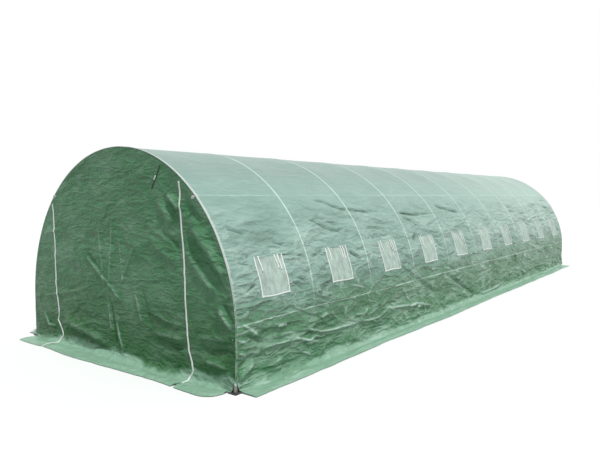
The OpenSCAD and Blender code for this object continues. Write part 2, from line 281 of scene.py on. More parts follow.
def in_window(y, u):
    """1 over a window and its tapes, 0 away from it."""
    across = 1 - step(WINDOW_HALF + 0.02, WINDOW_HALF + 0.09, off_middle(y))
    return across * step(SILL_U - 0.09, SILL_U - 0.02, u) * (1 - step(HEAD_U + 0.01, HEAD_U + 0.08, u))


def sight(px, py):
    """Direction in which the camera sees a pixel of the photograph."""
    flat = math.cos(CAMERA_PITCH)
    ahead = np.array([math.sin(CAMERA_YAW) * flat, math.cos(CAMERA_YAW) * flat, math.sin(CAMERA_PITCH)])
    right = np.array([math.cos(CAMERA_YAW), -math.sin(CAMERA_YAW), 0.0])
    focus = CAMERA_LENS / SENSOR * PHOTO_W
    return ahead * focus + right * (px - PHOTO_W / 2) - np.cross(right, ahead) * (py - PHOTO_H / 2)


def on_wall(px, py):
    """Place of a pixel on the right wall: along the tunnel, and up the film from the ground."""
    eye, ray = np.array(CAMERA_PLACE), sight(px, py)
    spot = eye + ray * (COVER_R - eye[0]) / ray[0]
    if spot[2] < ARC_Z:
        return spot[1], spot[2] - GROUND_Z
    high = eye[2] - ARC_Z
    a = ray[0] ** 2 + ray[2] ** 2
    b = eye[0] * ray[0] + high * ray[2]
    c = eye[0] ** 2 + high ** 2 - COVER_R ** 2
    spot = eye - ray * (b + math.sqrt(max(0.0, b * b - a * c))) / a
    return spot[1], LEG + COVER_R * math.atan2(spot[2] - ARC_Z, spot[0])


def on_front(px, py):
    """Place of a pixel on the front wall: across it, and up from the ground."""
    eye, ray = np.array(CAMERA_PLACE), sight(px, py)
    spot = eye - ray * (END_FACE + eye[1]) / ray[1]
    return spot[0], spot[2]


def placed(folds, spot):
    """Fold lines given in pixels of the photograph, set in their places on the film."""
    return tuple((tuple(spot(*pixel) for pixel in line), width, height) for line, width, height in folds)


# Each fold has its line in pixels of the photograph, and its width and height in metres
# Long narrow folds under the shoulder
SHOULDER_FOLDS = (
    (((225, 227.5), (236, 230.5), (247.5, 234)), 0.014, -0.022),
    (((271.5, 240.5), (279.5, 243), (287, 246)), 0.014, -0.012),
    (((279.5, 256), (285.5, 260), (291, 264)), 0.016, -0.014),
    (((237.5, 264), (246, 264), (253, 270)), 0.014, -0.01),
    (((308, 200.5), (322, 201), (331.5, 205.5), (341.5, 209), (358.5, 210), (376, 213.5)), 0.013, -0.022),
    (((306.5, 219.5), (315, 220.5), (326, 227), (341.5, 230.5)), 0.016, -0.018),
    (((365.5, 228.5), (374, 227), (383.5, 229)), 0.014, -0.012),
    (((397.5, 213), (409, 213), (420, 213.5)), 0.013, -0.016),
    (((400.5, 216.5), (411.5, 220.5), (421.5, 226.5)), 0.016, -0.014),
    (((432.5, 205), (443.5, 208), (452, 210.5), (461, 212.5)), 0.016, -0.024),
    (((400, 212.5), (416, 214), (432.5, 213)), 0.016, -0.016),
    (((512, 214.5), (522, 219.5), (534, 223), (546.5, 224.5)), 0.025, -0.024))
# Creases beside the windows
WINDOW_CREASES = (
    (((288, 277), (299.5, 278), (308, 281)), 0.014, -0.012),
    (((315, 277), (326, 277), (331.5, 278)), 0.014, -0.012),
    (((354, 249), (362.5, 249), (367, 250)), 0.013, -0.012),
    (((347, 281), (351.5, 284.5), (365.5, 287.5)), 0.013, 0.012),
    (((315, 286.5), (323, 292.5), (334.5, 293.5)), 0.013, 0.012),
    (((406, 267), (414.5, 274), (423, 281)), 0.03, 0.022),
    (((413.5, 274.5), (426, 285.5), (437, 293)), 0.03, -0.022),
    (((525.5, 242), (536.5, 247.5)), 0.02, 0.018))
# Long wandering creases low on the wall
LOW_CREASES = (
    (((287, 336), (295, 332.5), (308, 329), (320.5, 331.5), (331.5, 330), (347, 326), (365.5, 320.5)),
     0.013, 0.015),
    (((345.5, 320.5), (365.5, 320.5), (379.5, 317), (389, 307.5), (397.5, 307), (421.5, 303.5)),
     0.013, 0.016),
    (((257.5, 351), (267, 347), (277, 344), (298, 338.5), (309, 340), (315, 336), (326, 337)),
     0.013, 0.015),
    (((244.5, 334.5), (253, 338.5), (263, 344)), 0.014, -0.014),
    (((308, 350.5), (311.5, 341.5), (313.5, 337)), 0.012, 0.01),
    (((407.5, 308), (416, 303), (431, 305.5)), 0.016, 0.016),
    (((403.5, 289.5), (407.5, 297), (410.5, 302)), 0.014, 0.014),
    (((447, 274.5), (459.5, 283), (477, 295.5)), 0.022, -0.026),
    (((477, 290.5), (483, 293), (494.5, 288), (504.5, 280.5)), 0.018, 0.02))
# Loose film beside the open corner, in metres along the tunnel and up the film
CORNER_FOLDS = (
    (((-5.00, 0.09), (-4.94, 0.13), (-4.80, 0.19)), 0.026, 0.034),
    (((-5.00, 0.17), (-4.86, 0.25)), 0.018, -0.014),
    (((-4.99, 0.30), (-4.89, 0.26)), 0.016, 0.014),
    (((-5.00, 0.40), (-4.90, 0.37)), 0.016, 0.012))
WALL_FOLDS = placed(SHOULDER_FOLDS + WINDOW_CREASES + LOW_CREASES, on_wall) + CORNER_FOLDS
# From here to the rear the wall film is looser
LOOSE_FROM = 1.0


def wall_folds(side):
    """Lines, widths and heights of a wall's folds: the long ones above, then random ones bay by bay."""
    pick = np.random.RandomState(WALL_SEEDS[side])
    folds = [(tuple((side * y, u) for y, u in line), width, height) for line, width, height in WALL_FOLDS]
    for low, mid in zip(HOOP_Y, BAY_MID):
        # Slanting folds over the windows, more and higher ones where the film is loose
        count, tall = (6, 0.010) if low < LOOSE_FROM else (13, 0.018)
        for _ in range(count):
            y, u = low + pick.uniform(0.04, 0.7) * BAY, pick.uniform(1.00, 1.50)
            bend = (y + pick.uniform(0.08, 0.18), u - pick.uniform(-0.02, 0.05))
            end = (bend[0] + pick.uniform(0.08, 0.25), bend[1] - pick.uniform(-0.02, 0.09))
            folds.append((((y, u), bend, end), pick.uniform(0.012, 0.020), tall * pick.uniform(-1.2, 0.7)))
        # Rays from both edges of the window
        for edge in (-1, 1):
            for _ in range(7):
                y, u = mid + edge * (WINDOW_HALF + 0.03), pick.uniform(SILL_U - 0.05, HEAD_U + 0.12)
                end = (y + edge * pick.uniform(0.10, 0.28), u + pick.uniform(-0.14, 0.04))
                folds.append((((y, u), end), pick.uniform(0.012, 0.018), 0.011 * pick.uniform(-1.2, 0.9)))
        # Short creases low down
        for _ in range(14):
            y, u = low + pick.uniform(0.0, 0.9) * BAY, pick.uniform(0.08, 0.62)
            lean, reach = pick.uniform(-0.7, 0.7), pick.uniform(0.08, 0.26)
            end = (y + reach * math.cos(lean), u + reach * math.sin(lean))
            folds.append((((y, u), end), pick.uniform(0.011, 0.018), 0.011 * pick.uniform(-0.7, 1.3)))
    return folds


def near_line(y, u, line, reach):
    """Whether a fold can be felt at each point, to leave out the ones far away."""
    ends = np.array(line)
    low, high = ends.min(0) - 3 * reach, ends.max(0) + 3 * reach
    return (y > low[0]) & (y < high[0]) & (u > low[1]) & (u < high[1])


def crease_whitening_and_shade(x, z, folds, full):
    """How far the film is whitened along its ridges, up to 1, partly for stress whitening and partly as
    painted highlight, and darkened in its valleys, down to -1, as painted shade.
    """
    x, z = np.broadcast_arrays(np.asarray(x, float), np.asarray(z, float))
    marks = np.zeros(x.shape)
    for line, width, height in folds:
        here = near_line(x, z, line, width)
        strength = np.clip(height / full, -1, 1) * min(1, MARK_WIDTH / width)
        marks[here] += strength * fold(x[here], z[here], line, 0.8 * width)
    return np.clip(marks, -1, 1)


def side_height(side, y, u):
    """How far the side film stands out of its plain form: sag between the tubes, wrinkles and creases."""
    film = bpy.context.scene.polytunnel_film
    seed = WALL_SEEDS[side]
    bay = np.sin(math.pi * np.clip((y - HOOP_Y[0]) / BAY, 0, len(BAY_MID))) ** 2
    span = np.where(u < RAIL_U, np.clip(u / RAIL_U, 0, 1),
                    np.where(u < SHOULDER_U, (u - RAIL_U) / (SHOULDER_U - RAIL_U),
                             (u - SHOULDER_U) / (RIDGE_U - SHOULDER_U)))
    held = np.sin(math.pi * np.clip(span, 0, 1)) ** 2
    sag = -film.sag * bay * held * np.where(u < RAIL_U, 0.5, 1.0)
    low = 1 - step(0.45, 0.95, u)
    mid = step(0.45, 0.9, u) * (1 - step(1.40, 1.70, u))
    roof = step(1.5, 1.9, u)
    drift = layered(y * 0.9, u * 1.1, seed + 60, 2)
    patch = 0.35 + 0.65 * step(-0.35, 0.5, layered(y * 1.1, u * 1.6, seed + 70, 2))
    patch = patch * (1 + 1.2 * step(LOOSE_FROM - 1.0, LOOSE_FROM + 1.0, side * y))
    crumple = film.crumple * low * patch * (
        0.8 * creased(y * 2.6 + drift, u * 6.0 + 0.8 * y + drift, seed, 6) - 0.25
        + 0.35 * creased(y * 5.2 - drift, u * 9.5 - 1.5 * y, seed + 80, 4)
        + 0.30 * layered(y * 5, u * 8, seed + 20, 3))
    ripple = 0.60 * film.crumple * mid * patch * (
        0.8 * creased(y * 1.5 + 0.8 * drift, u * 9.0 - 0.9 * y + 1.4 * drift, seed + 30, 5) - 0.25
        + 0.35 * creased(y * 3.1 - drift, u * 13.0 + 1.1 * y, seed + 85, 4)
        + 0.35 * layered(y * 2.2, u * 12 - y, seed + 40, 2))
    folds = np.zeros(y.shape)
    for line, width, height in wall_folds(side):
        here = near_line(y, u, line, width)
        folds[here] += height * fold(y[here], u[here], line, width)
    calm = 0.003 * roof * layered(y * 0.8, u * 3.0, seed + 50, 3)
    tight = 1 - 0.85 * near_hoop(y) * step(0.2, 0.5, u)
    purlin = 1 - 0.8 * np.exp(-((u - SHOULDER_U) / 0.04) ** 2) - 0.7 * np.exp(-((u - RIDGE_U) / 0.05) ** 2)
    height = (crumple + ripple + calm + folds) * tight * purlin * (1 - 0.93 * in_window(y, u)) + sag
    height = height + HOOP_PROUD * near_hoop(y) * step(0.1, 0.5, u)
    height = height + PURLIN_PROUD * np.exp(-((u - SHOULDER_U) / 0.02) ** 2)
    # The film never goes into the rails and purlins behind it
    tubes = sum(np.exp(-((u - at) / 0.035) ** 2) for at in (RAIL_U, SHOULDER_U, RIDGE_U))
    floor = -DEEPEST + (DEEPEST - TUBE_DIP) * np.clip(tubes + near_hoop(y), 0, 1)
    return np.maximum(height, floor) * step(0.0, 0.06, u)


def side_reach(side, y):
    """How far the side film's foot curves out at a distance along the tunnel."""
    reach = 0.045 + 0.015 * layered(y * 1.3, 0 * y, 91 + side, 3)
    return FOOT_LEAST + reach * step(0.0, 0.35, COVER_END - np.abs(y))


def end_reach(end, x):
    """How far an end film's foot curves out at a distance across the end."""
    reach = 0.055 + 0.020 * layered(x * 1.6, 0 * x, 95 + end, 3)
    return FOOT_LEAST + reach * step(0.0, 0.30, COVER_R - np.abs(x))


def corner_lift(away):
    """How far the film is pulled up at the open front right corner, at a distance from the corner."""
    return CORNER_UP * (1 - step(CORNER_NEAR, CORNER_FAR, away))


def side_point(side, y, u, lift=0.0):
    """Points of the side film at distance y along the tunnel and u up the film from the ground."""
    y, u = np.broadcast_arrays(np.asarray(y, float), np.asarray(u, float))
    angle = np.clip(u - LEG, 0, None) / COVER_R
    out = COVER_R - FILM_INSET + side_height(side, y, u) + lift
    x = out * np.cos(angle) + run_out(u, side_reach(side, y))
    arc = ARC_Z + FOOT_GAP * (1 - step(0, 0.1, u - LEG)) + out * np.sin(angle)
    z = np.where(u < LEG, GROUND_Z + FOOT_GAP + u, arc)
    return np.stack([side * x, y, z], -1)


# Each fold has its line in pixels of the photograph, its width in metres and its height in drapes
# Drapes of the right front panel, from the zip down to the hoop
PANEL_DRAPES = (
    (((184, 245), (192.5, 261), (203, 277), (218.5, 296.5)), 0.045, 0.8),
    (((183.5, 230.5), (190, 243.5), (198.5, 257.5), (210, 274), (225.5, 295)), 0.042, -1.3),
    (((188, 220), (200, 236.5), (209.5, 251), (219, 266.5), (230, 285)), 0.05, 1.3),
    (((185, 203), (194, 214.5), (203, 222)), 0.035, -0.9),
    (((216.5, 307), (227, 323), (233.5, 332.5)), 0.03, 0.9),
    (((222, 304), (231.5, 319.5), (236, 329)), 0.026, -0.8))
# Drapes of the front door, beside the right zip
DOOR_DRAPES = (
    (((156.5, 200), (165, 212), (172, 226)), 0.045, 0.7),
    (((160.5, 197.5), (167, 205), (174, 216.5), (178, 225)), 0.03, -0.9),
    (((165.5, 193), (173.5, 201.5), (179.5, 210.5)), 0.03, 0.8),
    (((159.5, 230.5), (170, 239), (179.5, 251)), 0.024, -0.6))
# Creases in the middle of the front and low down
FRONT_CREASES = (
    (((150, 312.5), (160.5, 317), (169, 322.5), (183.5, 326)), 0.014, 0.55),
    (((65.5, 327.5), (77, 334), (89, 339), (100.5, 347), (113, 352.5)), 0.026, -1.1),
    (((110.5, 299), (112, 317), (114, 332), (117.5, 348)), 0.017, -0.7),
    (((45, 310.5), (50.5, 324), (58.5, 325.5)), 0.018, 0.6),
    (((82, 250), (125, 305)), 0.014, 0.5),
    (((42, 296), (90, 288)), 0.013, 0.3),
    (((112, 215), (108, 300)), 0.016, 0.35),
    (((98, 225), (104, 290)), 0.016, 0.35))
# Fainter folds of the front, in metres across it and up from the ground
FAINT_FOLDS = (
    (((0.50, 1.10), (0.70, 1.02), (0.88, 0.92)), 0.035, 0.5),
    (((0.30, 0.50), (0.60, 0.45), (0.92, 0.41)), 0.020, -0.4),
    (((-0.55, 1.00), (-0.03, 0.62)), 0.018, -0.35),
    (((-0.15, 0.56), (-0.13, 0.38), (-0.10, 0.22)), 0.020, 0.4),
    (((-0.02, 0.40), (0.02, 0.22), (0.10, 0.06)), 0.018, 0.5),
    (((-0.92, 0.26), (-0.66, 0.21), (-0.42, 0.18), (-0.20, 0.13)), 0.045, 1.0),
    (((0.02, 1.20), (0.10, 0.68)), 0.018, 0.3),
    (((0.30, 1.10), (0.02, 0.66)), 0.016, 0.3),
    (((0.25, 0.70), (0.37, 0.36)), 0.018, 0.4),
    (((0.36, 0.72), (0.50, 0.34)), 0.018, -0.3),
    (((0.55, 0.27), (0.80, 0.25), (0.97, 0.27)), 0.026, -0.9),
    (((0.50, 0.33), (0.95, 0.33)), 0.030, 0.5),
    (((1.10, 0.30), (1.25, 0.27), (1.46, 0.32)), 0.026, -0.8),
    (((1.08, 0.38), (1.44, 0.40)), 0.032, 0.4),
    (((1.15, 0.20), (1.44, 0.18)), 0.024, 0.6),
    (((-1.30, 1.12), (-0.98, 1.16)), 0.014, 0.35))
FRONT_FOLDS = placed(PANEL_DRAPES + DOOR_DRAPES + FRONT_CREASES, on_front) + FAINT_FOLDS
# The rear end has the same folds, turned about and a little smaller
REAR_FOLDS = tuple((tuple((-x * 0.93, z * 0.97) for x, z in line), width, height)
                   for line, width, height in FRONT_FOLDS)
END_FOLDS = {-1: FRONT_FOLDS, 1: REAR_FOLDS}


def zip_x(foot, z):
    """Place of a leaning zip across the end wall, at a height."""
    return foot - (z - GROUND_Z) * ZIP_LEAN


# Pixels of the photograph along the left zip, from its foot up
LEFT_ZIP = ((61.5, 346.5), (64, 336.5), (61.5, 325.5), (58.5, 319.5), (59.5, 312.5), (57, 290))
# Kinks near the zips' feet, as heights and distances off the straight line
LEFT_KINKS = tuple((z, x - zip_x(-ZIP_FOOT, z)) for x, z in (on_front(*pixel) for pixel in LEFT_ZIP))
# Further up both zips only wander a little
LEFT_KINKS += ((0.90, 0.0),)
RIGHT_KINKS = ((0.0, 0.01), (0.05, 0.045), (0.12, 0.04), (0.25, 0.01), (0.50, 0.0))


def zip_sway(side, z):
    """How far a zip wanders off its straight line at a height."""
    heights, offs = zip(*(LEFT_KINKS if side < 0 else RIGHT_KINKS))
    kinks = np.interp(z, heights, offs)
    sway = kinks + ZIP_WANDER * np.sin(z * 7.5 + side) * step(0.1, 0.5, z)
    return sway * step(0.0, 0.10, z - GROUND_Z - FOOT_GAP)


def arch_top(x):
    """Height of the arch over a distance from the middle."""
    return ARC_Z + np.sqrt(np.clip(COVER_R ** 2 - x ** 2, 0, None))


def zip_meets_arch(foot, below=0.0):
    """Height at which a zip's line comes to the arch, or to a distance below it."""
    z = ARC_Z
    for _ in range(20):
        z = float(arch_top(np.float64(zip_x(foot, z)))) - below
    return z


def tie_line(end):
    """Points of a door tie across the end wall, from its top to its tail."""
    top = TIE_HIGH[0] - TIE_TAPE / 2 * math.cos(TIE_LEAN), TIE_HIGH[2] - TIE_TAPE / 2 * math.sin(TIE_LEAN)
    drop = TIE_HIGH[2] - TIE_LOW[2] - TIE_TAPE * math.sin(TIE_LEAN)
    return (-end * top[0], top[1]), (-end * (top[0] - drop * math.tan(TIE_LEAN)), top[1] - drop)


def end_height(end, x, z):
    """How far an end wall's film stands out of its plain form."""
    film = bpy.context.scene.polytunnel_film
    seed = END_SEEDS[end]
    edge = np.where(z > ARC_Z, COVER_R - np.hypot(x, z - ARC_Z), COVER_R - np.abs(x))
    free = step(0.0, 0.12, edge)
    folds = sum(h * fold(x, z, line, w) for line, w, h in END_FOLDS[end])
    drift = layered(x * 1.1, z * 1.1, seed + 60, 2)
    loose = (0.22 * layered(x * 2.2, z * 1.4, seed + 20, 4) + 0.10 * layered(x * 7, z * 9, seed + 30, 3)
             + 0.16 * creased(x * 3.1 + drift, z * 6.5 - 1.2 * x, seed, 5) * step(-0.2, 0.5, drift))
    round_edge = np.where(z > ARC_Z, np.arctan2(z - ARC_Z, np.abs(x)) * COVER_R, z - ARC_Z)
    pleats = round_edge * 95 + 3 * layered(round_edge * 9, edge * 2, seed + 40, 2)
    gather = 0.22 * np.sin(pleats) * np.exp(-edge / 0.05)
    gather = gather * step(0.008, 0.05, edge) * (1 - step(0.9, 1.3, z)) * step(0.15, 0.3, z)
    height = film.drape * (free * (0.90 * folds + loose - 0.12) + gather)
    height = height * (1 - fold(x, z, tie_line(end), 0.09))
    return np.maximum(height, -0.002 - 0.05 * free) * step(0.0, 0.05, z - GROUND_Z)


def end_point(end, x, z, lift=0.0):
    """Points of an end wall's film, front (-1) or rear (+1)."""
    x, z = np.broadcast_arrays(np.asarray(x, float), np.asarray(z, float))
    out = END_FACE - FILM_INSET + end_height(end, x, z) + lift
    out = out + run_out(z - GROUND_Z - FOOT_GAP, end_reach(end, x))
    return np.stack([x, end * out, z], -1)


def skirt_height(v, wave):
    """Height of a skirt between its inner and outer edge, in low waves that stay off the ground."""
    z = GROUND_Z + SKIRT_REST + SKIRT_WAVE * np.sin(math.pi * v) * (0.6 + 0.6 * wave)
    return np.maximum(z, GROUND_Z + SKIRT_LEAST)


def end_skirt_point(end, x, v, lift=0.0):
    """Points of an end skirt, from the film's foot (v = 0) to its ragged outer edge (v = 1)."""
    x, v = np.broadcast_arrays(np.asarray(x, float), np.asarray(v, float))
    start = END_FACE - FILM_INSET + end_reach(end, x)
    across = -end * x
    edge = -END_LOW[1] - END_TRIM + RAGGED * layered(x * 2.3, 0 * x, 71 + end, 5)
    flap = run_out(END_HIGH[0] - across, FLAP_R)
    edge = edge - HOLLOW_DEEP * np.exp(-((across - HOLLOW_X) / HOLLOW_WIDE) ** 2) - flap
    z = skirt_height(v, layered(x * 4 + v, v * 2, 81 + end, 3)) + lift
    return np.stack([x, end * (start + v * (edge - start)), z], -1)


# Meshes

def sheet_mesh(name, points, skip=None, flip=False, marks=None):
    """A sheet of four-sided faces through a grid of points, with the marks of its creases for their painted
    highlight and shade.
    """
    rows, columns = points.shape[:2]
    at = np.arange(rows * columns).reshape(rows, columns)
    faces = np.stack([at[:-1, :-1], at[1:, :-1], at[1:, 1:], at[:-1, 1:]], -1)
    if flip:
        faces = faces[..., ::-1]
    faces = faces.reshape(-1, 4) if skip is None else faces[~skip]
    mesh = bpy.data.meshes.new(name)
    used, faces = np.unique(faces, return_inverse=True)
    mesh.from_pydata(points.reshape(-1, 3)[used].tolist(), [], faces.reshape(-1, 4).tolist())
    mesh.polygons.foreach_set("use_smooth", np.ones(len(mesh.polygons), bool))
    if marks is not None:
        mesh.attributes.new("crease", "FLOAT", "POINT").data.foreach_set("value", marks.ravel()[used])
    mesh.update()
    return mesh


def put_in_scene(name, data):
    """An object that holds some data, linked into the scene."""
    made = bpy.data.objects.new(name, data)
    bpy.context.scene.collection.objects.link(made)
    return made


def add_piece(name, mesh, material, nodes=()):
    """Puts a mesh in the scene as a piece of the object that rides on the frame."""
    piece = put_in_scene(name, mesh)
    if material is not None:
        mesh.materials.clear()
        mesh.materials.append(material)
    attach(piece, "root")
    if nodes:
        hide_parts(*nodes)
    return piece


def thicken(piece, thickness):
    """Gives a sheet its thickness, inwards from its outer face, with a sharp rim."""
    solid = piece.modifiers.new("Thickness", "SOLIDIFY")
    solid.thickness, solid.offset = thickness, -1.0
    depsgraph = bpy.context.evaluated_depsgraph_get()
    thick = bpy.data.meshes.new_from_object(piece.evaluated_get(depsgraph), depsgraph=depsgraph)
    thin, piece.data = piece.data, thick
    piece.modifiers.clear()
    name = thin.name
    bpy.data.meshes.remove(thin)
    thick.name = name
    thick.set_sharp_from_angle(angle=math.radians(72))


def joined(name, meshes, smooth=True):
    """One mesh out of several."""
    verts, faces, start = [], [], 0
    for mesh in meshes:
        verts += [v.co[:] for v in mesh.vertices]
        faces += [[start + i for i in p.vertices] for p in mesh.polygons]
        start += len(mesh.vertices)
        bpy.data.meshes.remove(mesh)
    whole = bpy.data.meshes.new(name)
    whole.from_pydata(verts, [], faces)
    whole.polygons.foreach_set("use_smooth", np.full(len(faces), smooth))
    return whole


def add_joined(name, meshes, material, nodes=()):
    """Puts several meshes in the scene as one piece."""
    return add_piece(name, joined(name, meshes), material, nodes)


def ribbon(name, line, normals, width):
    """A flat tape with rounded edges along a line, lying on a surface with the given normals."""
    line, normals = np.asarray(line, float), np.asarray(normals, float)
    along = np.gradient(line, axis=0)
    across = np.cross(along, normals)
    across /= np.linalg.norm(across, axis=1)[:, None]
    normals = normals / np.linalg.norm(normals, axis=1)[:, None]
    profile = ((-0.5, 0.0), (-0.5, 0.6), (-0.42, 1.0), (0.42, 1.0), (0.5, 0.6), (0.5, 0.0))
    rings = np.stack([line + across * width * a + normals * TAPE_THICK * b for a, b in profile], 1)
    at = np.arange(len(line) * len(profile)).reshape(len(line), len(profile))
    turned = np.roll(at, -1, axis=1)
    faces = np.stack([at[:-1], turned[:-1], turned[1:], at[1:]], -1).reshape(-1, 4).tolist()
    faces += [at[0, ::-1].tolist(), at[-1].tolist()]
    mesh = bpy.data.meshes.new(name)
    mesh.from_pydata(rings.reshape(-1, 3).tolist(), [], faces)
    mesh.validate()
    return mesh


# Geometry Nodes for what repeats

def new_tree(name, inputs):
    """A Geometry Nodes tree with a geometry going in and out and some named inputs, without its nodes."""
    tree = bpy.data.node_groups.new(name, "GeometryNodeTree")
    face = tree.interface
    face.new_socket("Geometry", in_out="INPUT", socket_type="NodeSocketGeometry")
    for label, kind, value in inputs + (("Material", "NodeSocketMaterial", None),):
        socket = face.new_socket(label, in_out="INPUT", socket_type=kind)
        if value is not None:
            socket.default_value = value
    face.new_socket("Geometry", in_out="OUTPUT", socket_type="NodeSocketGeometry")
    return tree


def row_tree():
    """Boxes set along every edge line of a mesh, a pitch apart and turned with the line."""
    name = "Row along a line"
    if name in bpy.data.node_groups:
        return bpy.data.node_groups[name]
    tree = new_tree(name, (("Pitch", "NodeSocketFloat", 0.01), ("Size", "NodeSocketVector", STITCH_SIZE)))
    made = {}
    for key, kind in (("in", "NodeGroupInput"), ("curve", "GeometryNodeMeshToCurve"),
                      ("spread", "GeometryNodeResampleCurve"), ("tangent", "GeometryNodeInputTangent"),
                      ("turn", "FunctionNodeAlignRotationToVector"), ("box", "GeometryNodeMeshCube"),
                      ("set", "GeometryNodeInstanceOnPoints"), ("real", "GeometryNodeRealizeInstances"),
                      ("paint", "GeometryNodeSetMaterial"), ("out", "NodeGroupOutput")):
        made[key] = tree.nodes.new(kind)
    made["spread"].mode = "LENGTH"
    made["turn"].axis = "X"
    for a, b in ((("in", "Geometry"), ("curve", "Mesh")), (("curve", "Curve"), ("spread", "Curve")),
                 (("in", "Pitch"), ("spread", "Length")), (("spread", "Curve"), ("set", "Points")),
                 (("tangent", "Tangent"), ("turn", "Vector")), (("turn", "Rotation"), ("set", "Rotation")),
                 (("in", "Size"), ("box", "Size")), (("box", "Mesh"), ("set", "Instance")),
                 (("set", "Instances"), ("real", "Geometry")), (("real", "Geometry"), ("paint", "Geometry")),
                 (("in", "Material"), ("paint", "Material")), (("paint", "Geometry"), ("out", "Geometry"))):
        tree.links.new(made[a[0]].outputs[a[1]], made[b[0]].inputs[b[1]])
    return tree


def bolt_tree():
    """A six-sided bolt head on a round washer, set on every point of a mesh, facing along -X."""
    tree = new_tree("Bolts", (("Width", "NodeSocketFloat", 0.011),))
    new = tree.nodes.new
    start, end = new("NodeGroupInput"), new("NodeGroupOutput")
    head, washer = new("GeometryNodeMeshCylinder"), new("GeometryNodeMeshCylinder")
    for part, sides, height in ((head, 6, HEAD_HIGH), (washer, 24, WASHER_HIGH)):
        part.inputs["Vertices"].default_value = sides
        part.inputs["Depth"].default_value = height
    half, wide, both = new("ShaderNodeMath"), new("ShaderNodeMath"), new("GeometryNodeJoinGeometry")
    for node, factor, part in ((half, HEAD_WIDE, head), (wide, WASHER_WIDE, washer)):
        node.operation = "MULTIPLY"
        node.inputs[1].default_value = factor
        tree.links.new(start.outputs["Width"], node.inputs[0])
        tree.links.new(node.outputs[0], part.inputs["Radius"])
    lift, turn = new("GeometryNodeTransform"), new("GeometryNodeTransform")
    lift.inputs["Translation"].default_value = (0, 0, HEAD_UP)
    turn.inputs["Rotation"].default_value = (0, -math.pi / 2, 0)
    points, put = new("GeometryNodeMeshToPoints"), new("GeometryNodeInstanceOnPoints")
    real, paint = new("GeometryNodeRealizeInstances"), new("GeometryNodeSetMaterial")
    for a, b in ((head.outputs["Mesh"], lift.inputs["Geometry"]), (lift.outputs[0], both.inputs[0]),
                 (washer.outputs["Mesh"], both.inputs[0]), (both.outputs[0], turn.inputs["Geometry"]),
                 (start.outputs["Geometry"], points.inputs["Mesh"]),
                 (points.outputs[0], put.inputs["Points"]), (turn.outputs[0], put.inputs["Instance"]),
                 (put.outputs[0], real.inputs[0]),
                 (real.outputs[0], paint.inputs["Geometry"]),
                 (start.outputs["Material"], paint.inputs["Material"]), (paint.outputs[0], end.inputs[0])):
        tree.links.new(a, b)
    return tree


def grown(name, mesh, tree, values):
    """Runs a node tree on a mesh, with its inputs set by name, and returns the result as a plain mesh."""
    scratch = put_in_scene(name + "_scratch", mesh)
    modifier = scratch.modifiers.new("Nodes", "NODES")
    modifier.node_group = tree
    for item in tree.interface.items_tree:
        if item.in_out == "INPUT" and item.name in values:
            modifier[item.identifier] = values[item.name]
    bpy.context.view_layer.update()
    depsgraph = bpy.context.evaluated_depsgraph_get()
    result = bpy.data.meshes.new_from_object(scratch.evaluated_get(depsgraph), depsgraph=depsgraph)
    result.name = name
    bpy.data.objects.remove(scratch)
    bpy.data.meshes.remove(mesh)
    if not result.polygons:
        raise RuntimeError(name + ": the node tree made nothing")
    return result


def lines_mesh(name, lines):
    """Edge lines through lists of points, for a node tree to follow."""
    verts, edges = [], []
    for line in lines:
        edges += [(len(verts) + i, len(verts) + i + 1) for i in range(len(line) - 1)]
        verts += [tuple(float(v) for v in p) for p in line]
    mesh = bpy.data.meshes.new(name)
    mesh.from_pydata(verts, edges, [])
    return mesh


# Materials

def shaded(colour, factor):
    """A colour made darker or lighter."""
    return tuple(min(1.0, c * factor) for c in colour)


class Sum:
    """A number in a material's node tree. Its operators add Math nodes."""

    def __init__(self, paint, socket):
        self.paint, self.socket = paint, socket

    def maths(self, operation, *values):
        node = self.paint.add("ShaderNodeMath", dict(operation=operation), dict(enumerate(values)))
        return Sum(self.paint, node.outputs[0])

    def __add__(self, other):
        return self.maths("ADD", self, other)

    def __sub__(self, other):
        return self.maths("SUBTRACT", self, other)

    def __rsub__(self, other):
        return self.maths("SUBTRACT", other, self)

    def __mul__(self, other):
        return self.maths("MULTIPLY", self, other)

    def __truediv__(self, other):
        return self.maths("DIVIDE", self, other)

    __radd__, __rmul__ = __add__, __mul__

    def absolute(self):
        return self.maths("ABSOLUTE", self)

    def least(self, other):
        return self.maths("MINIMUM", self, other)

    def most(self, other):
        return self.maths("MAXIMUM", self, other)

    def rise(self, low, high):
        """0 below low and 1 above high, with a smooth rise between them."""
        node = self.paint.add("ShaderNodeMapRange", dict(interpolation_type="SMOOTHSTEP"),
                              {"Value": self, "From Min": low, "From Max": high})
        return Sum(self.paint, node.outputs["Result"])


